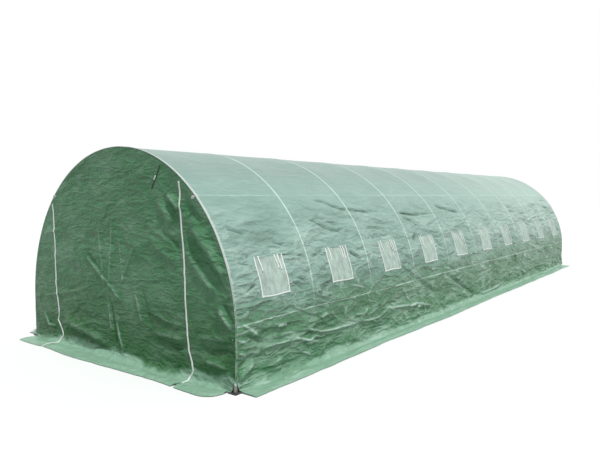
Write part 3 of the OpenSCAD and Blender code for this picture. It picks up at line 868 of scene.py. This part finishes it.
class Paint:
    """A material with one Principled shader, and short ways to add nodes to it."""

    def __init__(self, name, **shader):
        self.material = bpy.data.materials.new(name)
        self.material.use_nodes = True
        self.tree = self.material.node_tree
        self.shader = next(n for n in self.tree.nodes if n.type == "BSDF_PRINCIPLED")
        self.place = self.add("ShaderNodeTexCoord").outputs["Object"]
        split = self.add("ShaderNodeSeparateXYZ", {}, {0: self.place})
        self.x, self.y, self.z = (Sum(self, split.outputs[i]) for i in range(3))
        for key, value in shader.items():
            self.put(self.shader.inputs[key.replace("_", " ")], value)

    def add(self, kind, settings=None, values=None):
        node = self.tree.nodes.new(kind)
        for key, value in (settings or {}).items():
            setattr(node, key, value)
        for key, value in (values or {}).items():
            self.put(node.inputs[key], value)
        return node

    def put(self, socket, value):
        if isinstance(value, Sum):
            value = value.socket
        if isinstance(value, bpy.types.NodeSocket):
            self.tree.links.new(value, socket)
        elif socket.type == "RGBA":
            socket.default_value = tuple(value)[:3] + (1.0,)
        else:
            socket.default_value = value

    def scaled(self, x, y, z):
        """Object coordinates stretched by three numbers."""
        return self.add("ShaderNodeMapping", {}, {"Vector": self.place, "Scale": (x, y, z)}).outputs[0]

    def noise(self, place, scale, detail, rough=0.55, wander=0.0):
        values = {"Vector": place, "Scale": scale, "Detail": detail, "Roughness": rough, "Distortion": wander}
        return Sum(self, self.add("ShaderNodeTexNoise", {}, values).outputs[0])

    def crumple(self, place, scale, wander):
        """Sharp ridges that wander over the surface: how near the ridge, 0 on it."""
        return (self.noise(place, scale, 1.5, 0.45, wander) - 0.5).absolute()

    def wave(self, direction, scale):
        values = {"Vector": self.place, "Scale": scale}
        node = self.add("ShaderNodeTexWave", dict(bands_direction=direction), values)
        return Sum(self, node.outputs[1])

    def mix(self, factor, a, b):
        node = self.add("ShaderNodeMix", dict(data_type="RGBA"))
        for socket, value in ((node.inputs[0], factor), (node.inputs[6], a), (node.inputs[7], b)):
            self.put(socket, value)
        return node.outputs[2]

    def bump(self, height, strength, distance):
        node = self.add("ShaderNodeBump", {}, {"Height": height, "Strength": strength, "Distance": distance})
        self.put(self.shader.inputs["Normal"], node.outputs[0])

    def finish(self, **links):
        for key, value in links.items():
            self.put(self.shader.inputs[key.replace("_", " ")], value)
        return self.material


def film_material(name, under, over, heights, gloss, crinkle, veins, stretch, tubes=False):
    """Woven film, one green below the first height and another above the second, creased and crinkled."""
    film = bpy.context.scene.polytunnel_film
    p = Paint(name, Specular_IOR_Level=gloss)
    if tubes:
        # Film on the roof is tighter
        crinkle = crinkle - p.z.rise(0.95, 1.60) * (0.78 * crinkle)
    warp = p.noise(p.place, 1.3, 3)
    patch = p.noise(p.scaled(1.0, 0.6, 1.5), 3.2, 4, 0.6)
    grain = p.noise(p.scaled(1.0, 0.6, 1.4), 55.0, 3, 0.6)
    where = p.noise(p.scaled(1.0, 0.7, 1.4), 2.1, 3, 0.6)
    long, short = p.crumple(p.scaled(*stretch), 4.5, 0.5), p.crumple(p.scaled(*stretch), 11.0, 0.4)
    tiny = p.crumple(p.scaled(1.0, 0.7, 1.1), 24.0, 0.2)
    creases = ((1 - long.rise(0.0, 0.030)) * where.rise(0.46, 0.60) * 0.5
               + (1 - short.rise(0.0, 0.045)) * (1 - where.rise(0.42, 0.56)) * 0.35)
    mark = Sum(p, p.add("ShaderNodeAttribute", dict(attribute_name="crease")).outputs["Fac"])
    # Painted light: darker low down for shade and paler high up for sky sheen
    colour = p.mix((p.z + (warp - 0.5) * 0.35).rise(*heights), under, over)
    if tubes:
        # Painted shade on the roof, and painted sheen making the film paler to the rear
        colour = p.mix(p.z.rise(1.50, 1.80), colour, shaded(over, 0.79))
        colour = p.mix(p.y.rise(-1.5, 4.0) * p.z.rise(0.65, 1.0) * 0.34, colour, film.crease)
    # Pale and dark patches, and the foot turning to the skirt's green near the ground
    colour = p.mix(((patch - 0.48) * crinkle * (0.5 + veins)).most(0.0).least(0.30), colour, film.crease)
    colour = p.mix(((0.50 - patch) * crinkle * 1.4).most(0.0).least(0.30), colour, shaded(film.shade, 0.55))
    foot = p.z + (patch - 0.5) * 0.26 + (where - 0.5) * 0.2
    colour = p.mix(1 - foot.rise(0.02, 0.09), colour, film.skirt)
    # Fine creases, then the ridges and valleys of the mesh's own folds: ridges paler, partly as stress
    # whitening and partly as painted highlight, valleys darker as painted shade
    colour = p.mix(creases * crinkle * veins, colour, film.crease)
    colour = p.mix(mark.rise(0.15, 0.90) * (where.rise(0.34, 0.60) * 0.5 + 0.28), colour, film.crease)
    colour = p.mix((mark * -1.0).rise(0.25, 0.95) * 0.62, colour, shaded(film.deep, 0.5))
    if tubes:
        # Painted highlight: pale lines over the hoops, shoulder purlins and side rails
        away = p.y / BAY + (1000.5 + 0.5 * (len(HOOP_Y) % 2 == 0))
        away = (away.maths("FRACT", away) - 0.5).absolute() * BAY
        highlight_strength = p.noise(p.scaled(1.0, 0.0, 1.0), 5.0, 2).rise(0.2, 0.6) * 0.35 + 0.65
        hoop = (1 - away.rise(0.004, 0.013)) * highlight_strength * p.z.rise(0.50, 0.95) * 0.80
        purlin = 1 - (p.z - (ARC_Z + COVER_R * math.sin(math.pi / 4))).absolute().rise(0.002, 0.008)
        purlin = purlin * (where.rise(0.40, 0.58) * 0.16 + 0.08)
        rail = 1 - (p.z - (GROUND_Z + RAIL_U) - (warp - 0.5) * 0.03).absolute().rise(0.003, 0.009)
        rail = rail * (patch * 0.5 + 0.25)
        lines = tuple(min(1.0, c * 1.2 + 0.06) for c in film.crease)
        colour = p.mix(hoop.most(purlin).most(rail), colour, lines)
    p.bump(grain * 0.025 - (long + short * 0.5 + tiny * 0.2) * crinkle, 1.0, 0.070)
    return p.finish(Base_Color=colour, Roughness=0.36 + (patch - 0.5) * 0.2 + (grain - 0.5) * 0.2)


def tape_material(name, colour):
    """White woven tape with a fine rib and a little dirt."""
    p = Paint(name, Specular_IOR_Level=0.3)
    dirt = p.noise(p.place, 14.0, 5, 0.65).rise(0.42, 0.75)
    rib = p.wave("DIAGONAL", 420.0)
    p.bump(rib * 0.3 + p.noise(p.place, 160.0, 3) * 0.5, 0.25, 0.001)
    tint = p.mix(dirt * 0.5, colour, shaded(colour, 0.75))
    return p.finish(Base_Color=tint, Roughness=0.62 + dirt * 0.15)


def hem_material(white, green):
    """Tape along the cover's edge: white above, and more and more green and ragged low down."""
    p = Paint("hem tape", Specular_IOR_Level=0.3)
    dirt = p.noise(p.place, 22.0, 4, 0.65)
    ragged = p.noise(p.place, 34.0, 3, 0.6).rise(0.44, 0.56)
    # Partly painted highlight: the white above stands for the light along the arch, and gives way to film
    # green low down where that light falls off
    low = 1 - (p.z + (dirt - 0.5) * 0.3).rise(0.45, 1.05)
    p.bump(p.wave("DIAGONAL", 420.0) * 0.6 + dirt, 0.35, 0.002)
    tint = p.mix(dirt.rise(0.42, 0.75) * 0.5, white, shaded(white, 0.72))
    return p.finish(Base_Color=p.mix((low * 0.55 + ragged * low * 0.45).least(1.0), tint, green),
                    Roughness=0.55 + dirt * 0.2)


def net_material():
    """Pale insect net: a fine square mesh, a little uneven in colour."""
    trim = bpy.context.scene.polytunnel_trim
    p = Paint("insect net", Specular_IOR_Level=0.25)
    threads = p.wave("Y", 150.0).most(p.wave("Z", 150.0))
    patch = p.noise(p.scaled(1.0, 1.6, 0.9), 12.0, 5, 0.65)
    tint = p.mix(patch.rise(0.3, 0.7), shaded(trim.net, 0.74), shaded(trim.net, 1.25))
    streak = p.noise(p.scaled(1.0, 1.0, 0.12), 30.0, 3, 0.6)
    tint = p.mix(streak.rise(0.40, 0.75) * 0.45, tint, shaded(trim.net, 1.25))
    # Painted shade: darker between the threads, for the dark inside seen through the net
    tint = p.mix((1 - threads.rise(0.2, 0.8)) * 0.15, tint, shaded(trim.net, 0.6))
    p.bump(threads * 0.5 + patch * 2.0, 0.3, 0.002)
    return p.finish(Base_Color=tint, Roughness=0.6 + (patch - 0.5) * 0.3)


def zinc_material(name, colour, spangle):
    """Galvanised steel with a grain of zinc crystals and dull patches."""
    p = Paint(name, Metallic=0.85)
    grain = p.add("ShaderNodeTexVoronoi", {}, {"Vector": p.place, "Scale": spangle})
    crystal = Sum(p, p.add("ShaderNodeSeparateColor", {}, {0: grain.outputs["Color"]}).outputs[0])
    dull = p.noise(p.place, 9.0, 4)
    tint = p.mix(crystal * 0.35 + dull.rise(0.4, 0.7) * 0.3, colour, shaded(colour, 0.72))
    p.bump(crystal + dull, 0.15, 0.001)
    return p.finish(Base_Color=tint, Roughness=0.32 + crystal * 0.15 + dull * 0.12)


def foot_material(colour):
    """Dark dull plates with paler sockets on them, all dusty."""
    p = Paint("foot steel", Metallic=0.3)
    dust = p.noise(p.place, 18.0, 6, 0.65)
    tint = p.mix(p.z.rise(0.006, 0.014), colour, (0.30, 0.29, 0.26))
    tint = p.mix(dust.rise(0.45, 0.75) * 0.5, tint, (0.20, 0.19, 0.17))
    p.bump(dust, 0.3, 0.002)
    return p.finish(Base_Color=tint, Roughness=0.55 + dust * 0.25)


def plastic_material(name, colour):
    """Moulded plastic with faint flow marks."""
    p = Paint(name)
    flow = p.noise(p.place, 60.0, 4)
    p.bump(flow, 0.1, 0.001)
    return p.finish(Base_Color=p.mix(flow.rise(0.35, 0.7) * 0.4, colour, shaded(colour, 0.82)),
                    Roughness=0.3 + flow * 0.2)


# Grids over the film

def along_tunnel(counts):
    """Distances along the tunnel that take in each hoop and both edges of each window."""
    parts = [[-COVER_END]]
    for i, (low, mid) in enumerate(zip(HOOP_Y, BAY_MID)):
        before, inside, after = counts[min(len(counts) - 1, i // 3)]
        parts += [np.linspace(low, mid - WINDOW_HALF, before, endpoint=False),
                  np.linspace(mid - WINDOW_HALF, mid + WINDOW_HALF, inside, endpoint=False),
                  np.linspace(mid + WINDOW_HALF, low + BAY, after, endpoint=False)]
    return np.concatenate(parts + [[HOOP_Y[-1], COVER_END]])


def up_wall(counts):
    """Distances up the wall that include the sill and the head of the windows."""
    stops = (0.0, LEG, SILL_U, HEAD_U, SHOULDER_U)
    parts = [np.linspace(a, b, n, endpoint=False) for a, b, n in zip(stops, stops[1:], counts)]
    return np.concatenate(parts + [[SHOULDER_U]])


class PieceOperator:
    """What every operator here shares."""
    bl_options = {"REGISTER", "UNDO"}


class POLYTUNNEL_OT_steel(PieceOperator, bpy.types.Operator):
    """Finishes the tubes, connectors, feet and toggles of the frame"""
    bl_idname = "polytunnel.steel"
    bl_label = "Steel frame"

    def execute(self, context):
        steel = context.scene.polytunnel_steel
        tube = zinc_material("galvanised tube", steel.zinc, 90.0)
        cross = zinc_material("pressed connector", shaded(steel.zinc, 1.15), 140.0)
        foot = foot_material(steel.foot)
        toggle = plastic_material("toggle plastic", (0.86, 0.87, 0.84))
        for name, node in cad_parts.items():
            finish = None
            if name.startswith("hoop_") or name.endswith(("purlin", "rail", "braces")):
                finish = tube
            elif name.endswith("connectors"):
                finish = cross
            elif name == "foot_plates":
                finish = foot
            elif name == "tie_toggles":
                finish = toggle
            if finish is not None:
                node.data.materials.clear()
                node.data.materials.append(finish)
        return {"FINISHED"}


class POLYTUNNEL_OT_bolts(PieceOperator, bpy.types.Operator):
    """Puts a bolt with a washer on each end of the corner braces"""
    bl_idname = "polytunnel.bolts"
    bl_label = "Brace bolts"

    def execute(self, context):
        steel = context.scene.polytunnel_steel
        low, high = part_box("front_braces")
        spots = [(high[0] - BOLT_FLAT, end * y, z) for end in (-1, 1)
                 for y, z in ((HOOP_Y[-1], high[2] - BOLT_TIP), (HOOP_Y[-1] - BAY, low[2] + BOLT_TIP))]
        points = lines_mesh("brace_bolts", [[spot] for spot in spots])
        material = zinc_material("bolt zinc", (0.55, 0.55, 0.56), 200.0)
        right = grown("brace_bolts", points, bolt_tree(), {"Width": steel.bolt, "Material": material})
        left = right.copy()
        left.transform(Matrix.Scale(-1, 4, (1, 0, 0)))
        left.flip_normals()
        both = joined("brace_bolts", (right, left), smooth=False)
        add_piece("brace_bolts", both, material)
        return {"FINISHED"}


class POLYTUNNEL_OT_walls(PieceOperator, bpy.types.Operator):
    """Stretches the wall film over the hoops on both sides, with its windows cut out"""
    bl_idname = "polytunnel.walls"
    bl_label = "Side walls"

    def execute(self, context):
        film = context.scene.polytunnel_film
        material = film_material("cover film", film.deep, film.pale, heights=(0.40, 0.94), gloss=0.50,
                                 crinkle=1.30, veins=0.72, stretch=(1.0, 0.40, 1.3), tubes=True)
        for side, word, bays, rows in ((1, "right", RIGHT_BAYS, RIGHT_ROWS),
                                       (-1, "left", LEFT_BAYS, LEFT_ROWS)):
            name, y, u = word + "_wall_film", along_tunnel(bays), up_wall(rows)
            grid_y, grid_u = np.meshgrid(y, u)
            if side > 0:
                grid_u = grid_u + np.clip(1 - grid_u / LEG, 0, 1) * corner_lift(y + COVER_END)[None, :]
            points = side_point(side, grid_y, grid_u)
            mid_y, mid_u = (y[1:] + y[:-1]) / 2, (u[1:] + u[:-1]) / 2
            tall = (mid_u > SILL_U) & (mid_u < HEAD_U)
            skip = (off_middle(mid_y) < WINDOW_HALF)[None, :] & tall[:, None]
            marks = crease_whitening_and_shade(grid_y, grid_u, wall_folds(side), WALL_MARK)
            marks = marks * (1 - in_window(grid_y, grid_u))
            mesh = sheet_mesh(name, points, skip, flip=side > 0, marks=marks)
            nodes = (word + "_lower_wall", word + "_window_wall")
            piece = add_piece(name, mesh, material, nodes)
            thicken(piece, film.thickness)
            (SHOULDER_U + SEAM / 2) * 2 * COVER_END - WINDOWS_WIDE * (HEAD_U - SILL_U)
        return {"FINISHED"}


class POLYTUNNEL_OT_roof(PieceOperator, bpy.types.Operator):
    """Stretches the roof film from shoulder to shoulder"""
    bl_idname = "polytunnel.roof"
    bl_label = "Roof"

    def execute(self, context):
        film = context.scene.polytunnel_film
        material = bpy.data.materials["cover film"]
        y, u = along_tunnel(ROOF_BAYS), np.linspace(SHOULDER_U, RIDGE_U, ROOF_ROWS)
        right, left = (side_point(side, y[None, :], u[:, None]) for side in (1, -1))
        # The two halves meet along the ridge
        blend = step(RIDGE_U - 0.5, RIDGE_U, u)[:, None, None] * 0.5
        right, left = (one * (1 - blend) + other * MIRROR * blend
                       for one, other in ((right, left), (left, right)))
        mesh = sheet_mesh("roof_film", np.concatenate([right, left[::-1][1:]]), flip=True)
        piece = add_piece("roof_film", mesh, material, ("left_roof", "right_roof"))
        thicken(piece, film.thickness)
        return {"FINISHED"}


class POLYTUNNEL_OT_ends(PieceOperator, bpy.types.Operator):
    """Hangs the end film: a panel on each side of a zipped door, front and rear"""
    bl_idname = "polytunnel.ends"
    bl_label = "End walls"

    def execute(self, context):
        film = context.scene.polytunnel_film
        # Painted shade: the end film takes the side walls' low green above and the darker shade green low
        # down
        upper = tuple(0.97 * a + 0.03 * b for a, b in zip(film.deep, film.pale))
        material = film_material("end film", film.shade, upper, heights=(0.2, 0.9), gloss=0.20, crinkle=0.85,
                                 veins=0.22, stretch=(0.7, 1.0, 1.9))
        for end, word in ((-1, "front"), (1, "rear")):
            turn = -end
            panel, door, rows = FRONT_STEPS if end < 0 else REAR_STEPS
            for name, low, high, n in (("left_panel", -COVER_R, -ZIP_FOOT, panel),
                                       ("door", -ZIP_FOOT, ZIP_FOOT, door),
                                       ("right_panel", ZIP_FOOT, COVER_R, panel)):
                tops = [x if abs(x) >= COVER_R else zip_x(x, zip_meets_arch(x)) for x in (low, high)]
                top = COVER_R * np.sin(np.linspace(*(math.asin(x / COVER_R) for x in tops), n + 1))
                foot = low + (high - low) * (top - tops[0]) / (tops[1] - tops[0])
                t = np.linspace(0, 1, rows + 1)[:, None] ** 1.25
                x = foot[None, :] * (1 - t) + top[None, :] * t
                base = GROUND_Z + FOOT_GAP + (corner_lift(COVER_R - foot) if end < 0 else 0 * foot)
                z = base[None, :] + (arch_top(top) - ARCH_GAP - base)[None, :] * t
                for side in (-1, 1):
                    off = x - zip_x(side * ZIP_FOOT, z)
                    x = x + np.exp(-(off / 0.1) ** 2) * zip_sway(side, z)
                points = end_point(end, turn * x, z)
                if turn < 0:
                    name = {"left_panel": "right_panel", "right_panel": "left_panel"}.get(name, name)
                node = word + "_" + name
                marks = crease_whitening_and_shade(turn * x, z, END_FOLDS[end], END_MARK)
                mesh = sheet_mesh(node + "_film", points, flip=True, marks=marks)
                piece = add_piece(node + "_film", mesh, material, (node,))
                thicken(piece, film.thickness)
                area = float(np.trapz(arch_top(top) - GROUND_Z, (top + foot) / 2))
        return {"FINISHED"}


class POLYTUNNEL_OT_skirts(PieceOperator, bpy.types.Operator):
    """Lays the skirts on the ground along the sides and across the ends"""
    bl_idname = "polytunnel.skirts"
    bl_label = "Ground skirts"

    def execute(self, context):
        film = context.scene.polytunnel_film
        material = film_material("skirt film", film.skirt, film.skirt, heights=(0.0, 0.6), gloss=0.30,
                                 crinkle=0.6, veins=0.75, stretch=(1.0, 0.6, 1.0))
        for side, word in ((1, "right"), (-1, "left")):
            name, y, v = word + "_skirt_film", along_tunnel(ROOF_BAYS), np.linspace(0, 1, 12)[:, None]
            if side > 0:
                y = y[y > -COVER_END + CORNER_CUT]
            start = COVER_R - FILM_INSET + side_reach(side, y)
            edge = SKIRT_HIGH[0] - SIDE_TRIM + RAGGED * layered(y * 1.7, y * 0, 31 + side, 5)
            x = start + v * (edge - start)
            z = skirt_height(v, layered(y * 4 + v, v * 2, 41 + side, 3))
            mesh = sheet_mesh(name, np.stack([side * x, np.broadcast_to(y, x.shape), z], -1), flip=side < 0)
            piece = add_piece(name, mesh, material, (word + "_skirt",))
            thicken(piece, film.thickness)
            float(np.mean(edge - start))
        half = END_HIGH[0]
        stops = ((-half, -ZIP_FOOT - SLIT), (-ZIP_FOOT + SLIT, ZIP_FOOT - SLIT), (ZIP_FOOT + SLIT, half))
        v = np.linspace(0, 1, 16)[:, None]
        for end, word in ((-1, "front"), (1, "rear")):
            meshes, area, wide = [], 0.0, 0.0
            for low, high in stops:
                x = np.linspace(low, high, max(8, int((high - low) / 0.015)))
                # The slits under the zips open outwards
                near = sum(np.sign(x - at) * np.exp(-np.abs(x - at) / 0.08) for at in (-ZIP_FOOT, ZIP_FOOT))
                points = end_skirt_point(end, -end * (x + SLIT_OPEN * v ** 2 * near), v)
                meshes.append(sheet_mesh("skirt", points))
                runs = np.abs(points[-1, :, 1] - points[0, :, 1])
                area, wide = area + (high - low) * float(runs.mean()), max(wide, float(runs.max()))
            piece = add_joined(word + "_skirt_film", meshes, material, (word + "_skirt",))
            thicken(piece, film.thickness)
        return {"FINISHED"}


def side_normals(side, u):
    """Directions straight out of the side film."""
    angle = np.clip(np.asarray(u) - LEG, 0, None) / COVER_R
    return np.stack([side * np.cos(angle), 0 * angle, np.sin(angle)], -1)


class POLYTUNNEL_OT_windows(PieceOperator, bpy.types.Operator):
    """Fills the windows with net, and edges them with stitched white tape and hanging straps"""
    bl_idname = "polytunnel.windows"
    bl_label = "Windows"

    def execute(self, context):
        trim = context.scene.polytunnel_trim
        net, tape = net_material(), tape_material("window tape", trim.white)
        thread = tape_material("tape thread", trim.white)
        u = np.linspace(SILL_U, HEAD_U, 22)
        tape_u = np.linspace(SILL_U - trim.tape, HEAD_U + 0.01, 30)
        # Each tape has two rows of stitches, this far from its middle
        sewn = 0.4 * trim.tape
        fall = np.linspace(0, 1, 14)
        for side, word in ((1, "right"), (-1, "left")):
            nets, tapes, stitches, straps = [], [], [], []
            for middle in BAY_MID:
                y = np.linspace(middle - WINDOW_HALF, middle + WINDOW_HALF, 22)
                sway = 0.004 * np.sin(9 * (y[None, :] + 0.7 * middle) + 6 * u[:, None])
                points = side_point(side, y[None, :], u[:, None], sway * 0.5 - TAPE_UP)
                nets.append(sheet_mesh("net", points, flip=side > 0))
                for edge in (-1, 1):
                    at = middle + edge * (WINDOW_HALF + trim.tape / 2 - 0.002)
                    at = at + TAPE_WANDER * np.sin(tape_u * 23 + middle)
                    line = side_point(side, at, tape_u, TAPE_UP)
                    tapes.append(ribbon("tape", line, side_normals(side, tape_u), trim.tape))
                    stitches += [side_point(side, at + off, tape_u, TAPE_UP + STITCH_UP)
                                 for off in (-sewn, sewn)]
                tape_y = np.linspace(middle - WINDOW_HALF - trim.tape, middle + WINDOW_HALF + trim.tape, 30)
                low = SILL_U - trim.tape / 2 + TAPE_WANDER * np.sin(tape_y * 17)
                line = side_point(side, tape_y, low, SILL_UP)
                tapes.append(ribbon("tape", line, side_normals(side, low), trim.tape))
                stitches += [side_point(side, tape_y, low + off, SILL_UP + STITCH_UP)
                             for off in (-sewn, sewn)]
                for at, lean, reach in STRAPS:
                    line_u = HEAD_U + 0.012 - fall * trim.strap_length * reach
                    line_y = middle + at + lean * fall + 0.004 * np.sin(5 * fall + 9 * middle)
                    line = side_point(side, line_y, line_u, STRAP_UP + 0.0015 * np.sin(math.pi * fall))
                    straps.append(ribbon("strap", line, side_normals(side, line_u), trim.strap))
            piece = add_joined(word + "_net_sheets", nets, net, (word + "_window_nets",))
            thicken(piece, NET_THICK)
            add_joined(word + "_window_tapes", tapes, tape, (word + "_window_trims",))
            add_joined(word + "_window_straps", straps, tape)
            mesh = grown(word + "_window_stitches", lines_mesh("stitches", stitches), row_tree(),
                         {"Pitch": trim.stitch, "Size": STITCH_SIZE, "Material": thread})
            add_piece(word + "_window_stitches", mesh, None)
        return {"FINISHED"}


class POLYTUNNEL_OT_zips(PieceOperator, bpy.types.Operator):
    """Sews a toothed zip on each side of both doors"""
    bl_idname = "polytunnel.zips"
    bl_label = "Door zips"

    def execute(self, context):
        trim = context.scene.polytunnel_trim
        tape = tape_material("zip tape", shaded(trim.white, 1.05))
        teeth = plastic_material("zip teeth", (0.84, 0.87, 0.84))
        for end, word in ((-1, "front"), (1, "rear")):
            tapes, rows = [], []
            for side in (-1, 1):
                foot = GROUND_Z + ZIP_START
                top = zip_meets_arch(side * ZIP_FOOT, ZIP_SHORT)
                z = foot + np.linspace(0, 1, 120) ** 1.2 * (top - foot)
                x = -end * (zip_x(side * ZIP_FOOT, z) + zip_sway(side, z))
                line = end_point(end, x, z, ZIP_UP)
                tail = np.linspace(ZIP_TAILS[side], 0.0, 14, endpoint=False)
                run = end_skirt_point(end, -end * side * ZIP_FOOT + 0 * tail, tail, 0.002)
                line = np.concatenate([run, line])
                along = np.gradient(line, axis=0)
                normals = np.cross(along, (-1.0, 0.0, 0.0)) * -end
                tapes.append(ribbon("tape", line, normals, ZIP_TAPE))
                normals /= np.linalg.norm(normals, axis=1)[:, None]
                for shift in (-TEETH_OFF, TEETH_OFF):
                    rows.append(line + normals * TEETH_UP + np.array([shift, 0, 0]))
            add_joined(word + "_zip_tapes", tapes, tape, (word + "_zips",))
            mesh = grown(word + "_zip_teeth", lines_mesh("teeth", rows), row_tree(),
                         {"Pitch": trim.tooth, "Size": TOOTH_SIZE, "Material": teeth})
            add_piece(word + "_zip_teeth", mesh, None)
        return {"FINISHED"}


class POLYTUNNEL_OT_trims(PieceOperator, bpy.types.Operator):
    """Binds the edge of the cover with tape at both ends and hangs the door ties"""
    bl_idname = "polytunnel.trims"
    bl_label = "Hems and ties"

    def execute(self, context):
        trim = context.scene.polytunnel_trim
        film = context.scene.polytunnel_film
        tape = hem_material(shaded(trim.white, 0.66), film.deep)
        webbing = tape_material("tie webbing", (0.035, 0.06, 0.05))
        bands, rows, ties = [], [], []
        for end in (-1, 1):
            u = np.linspace(HEM_FOOT, RIDGE_U, 90)
            right = side_point(1, end * (END_FACE - HEM_TAPE / 2), u, TAPE_UP)
            out = side_normals(1, u)
            line = np.concatenate([right, (right * MIRROR)[::-1][1:]])
            normals = np.concatenate([out, (out * MIRROR)[::-1][1:]])
            bands.append(ribbon("hem", line, normals, HEM_TAPE))
            for shift in (0.1, 0.9):
                rows.append(line + normals * 0.002 + np.array([0, end * HEM_TAPE * (0.5 - shift), 0]))
            (ax, az), (bx, bz) = tie_line(end)
            fall = np.linspace(0, 1, 24)
            x = ax + (bx - ax) * fall + 0.004 * np.sin(fall * 6)
            normal = np.tile((0.0, float(end), 0.0), (24, 1))
            line = end_point(end, x, az + (bz - az) * fall, ZIP_UP)
            ties.append(ribbon("tie", line, normal, TIE_TAPE))
        add_joined("hem_tapes", bands, tape, ("end_hems",))
        thread = tape_material("hem thread", shaded(trim.white, 0.8))
        mesh = grown("hem_stitches", lines_mesh("stitches", rows), row_tree(),
                     {"Pitch": trim.stitch, "Size": STITCH_SIZE, "Material": thread})
        add_piece("hem_stitches", mesh, None)
        add_joined("tie_straps", ties, webbing, ("door_ties",))
        return {"FINISHED"}


class POLYTUNNEL_OT_stage(PieceOperator, bpy.types.Operator):
    """Sets a pale floor, soft light and the camera"""
    bl_idname = "polytunnel.stage"
    bl_label = "Stage"

    def execute(self, context):
        scene = context.scene
        mesh = bpy.data.meshes.new("floor")
        corners = ((-1, -1), (1, -1), (1, 1), (-1, 1))
        mesh.from_pydata([(x * FLOOR_HALF, y * FLOOR_HALF, 0) for x, y in corners], [], [(0, 1, 2, 3)])
        put_in_scene("floor", mesh)
        p = Paint("floor", Roughness=0.95)
        pale = p.mix(p.noise(p.place, 3.0, 2) * 0.5, FLOOR_PALE, FLOOR_WHITE)
        path = p.add("ShaderNodeLightPath")
        seen = Sum(p, path.outputs["Is Camera Ray"])
        for ray in ("Is Glossy Ray", "Is Transmission Ray"):
            seen = seen.most(Sum(p, path.outputs[ray]))
        mesh.materials.append(p.finish(Base_Color=p.mix(seen, FLOOR_BOUNCE, pale)))
        world = bpy.data.worlds.new("studio")
        scene.world = world
        world.use_nodes = True
        nodes, links = world.node_tree.nodes, world.node_tree.links
        path, mix = nodes.new("ShaderNodeLightPath"), nodes.new("ShaderNodeMixShader")
        first, second = nodes.new("ShaderNodeMath"), nodes.new("ShaderNodeMath")
        first.operation = second.operation = "MAXIMUM"
        sky, shown = nodes["Background"], nodes.new("ShaderNodeBackground")
        for node, colour, strength in ((sky, SKY, SKY_STRENGTH), (shown, (1.0, 1.0, 1.0, 1.0), 1.0)):
            node.inputs[0].default_value = colour
            node.inputs[1].default_value = strength
        for a, b in ((path.outputs["Is Camera Ray"], first.inputs[0]),
                     (path.outputs["Is Glossy Ray"], first.inputs[1]), (first.outputs[0], second.inputs[0]),
                     (path.outputs["Is Transmission Ray"], second.inputs[1]),
                     (second.outputs[0], mix.inputs[0]), (sky.outputs[0], mix.inputs[1]),
                     (shown.outputs[0], mix.inputs[2]),
                     (mix.outputs[0], nodes["World Output"].inputs[0])):
            links.new(a, b)
        for name, (place, aim, energy, angle) in SUNS.items():
            lamp = bpy.data.lights.new(name, "SUN")
            lamp.energy, lamp.angle = energy, angle
            light = put_in_scene(name, lamp)
            light.location = place
            light.rotation_euler = (Vector(aim) - Vector(place)).to_track_quat("-Z", "Y").to_euler()
        view = bpy.data.cameras.new("camera")
        view.sensor_width, view.lens, view.clip_end = SENSOR, scene.polytunnel_stage.lens, 200.0
        camera = put_in_scene("camera", view)
        camera.location = CAMERA_PLACE
        ahead = Vector(sight(PHOTO_W / 2, PHOTO_H / 2))
        camera.rotation_euler = ahead.to_track_quat("-Z", "Y").to_euler()
        scene.camera = camera
        scene.view_settings.view_transform = "Standard"
        return {"FINISHED"}


OPERATORS = (POLYTUNNEL_OT_steel, POLYTUNNEL_OT_walls, POLYTUNNEL_OT_roof, POLYTUNNEL_OT_ends,
             POLYTUNNEL_OT_skirts, POLYTUNNEL_OT_windows, POLYTUNNEL_OT_zips, POLYTUNNEL_OT_trims,
             POLYTUNNEL_OT_bolts, POLYTUNNEL_OT_stage)


class POLYTUNNEL_PT_panel(bpy.types.Panel):
    """Lists the pieces of the polytunnel"""
    bl_idname = "POLYTUNNEL_PT_panel"
    bl_label = "Polytunnel"
    bl_space_type = "VIEW_3D"
    bl_region_type = "UI"
    bl_category = "Polytunnel"

    def draw(self, context):
        for group in ("film", "trim", "steel", "stage"):
            settings = getattr(context.scene, "polytunnel_" + group)
            box = self.layout.box()
            for key in settings.bl_rna.properties.keys():
                if key not in {"rna_type", "name"}:
                    box.prop(settings, key)
        for operator in OPERATORS:
            self.layout.operator(operator.bl_idname)


SETTINGS = {"film": FilmSettings, "trim": TrimSettings, "steel": SteelSettings, "stage": StageSettings}
CLASSES = tuple(SETTINGS.values()) + OPERATORS + (POLYTUNNEL_PT_panel,)


def register():
    for one in CLASSES:
        bpy.utils.register_class(one)
    for name, settings in SETTINGS.items():
        setattr(bpy.types.Scene, "polytunnel_" + name, PointerProperty(type=settings))


def unregister():
    for name in SETTINGS:
        delattr(bpy.types.Scene, "polytunnel_" + name)
    for one in reversed(CLASSES):
        bpy.utils.unregister_class(one)


def main():
    register()
    for operator in OPERATORS:
        getattr(bpy.ops.polytunnel, operator.bl_idname.split(".")[1])()


if __name__ == "__main__":
    main()
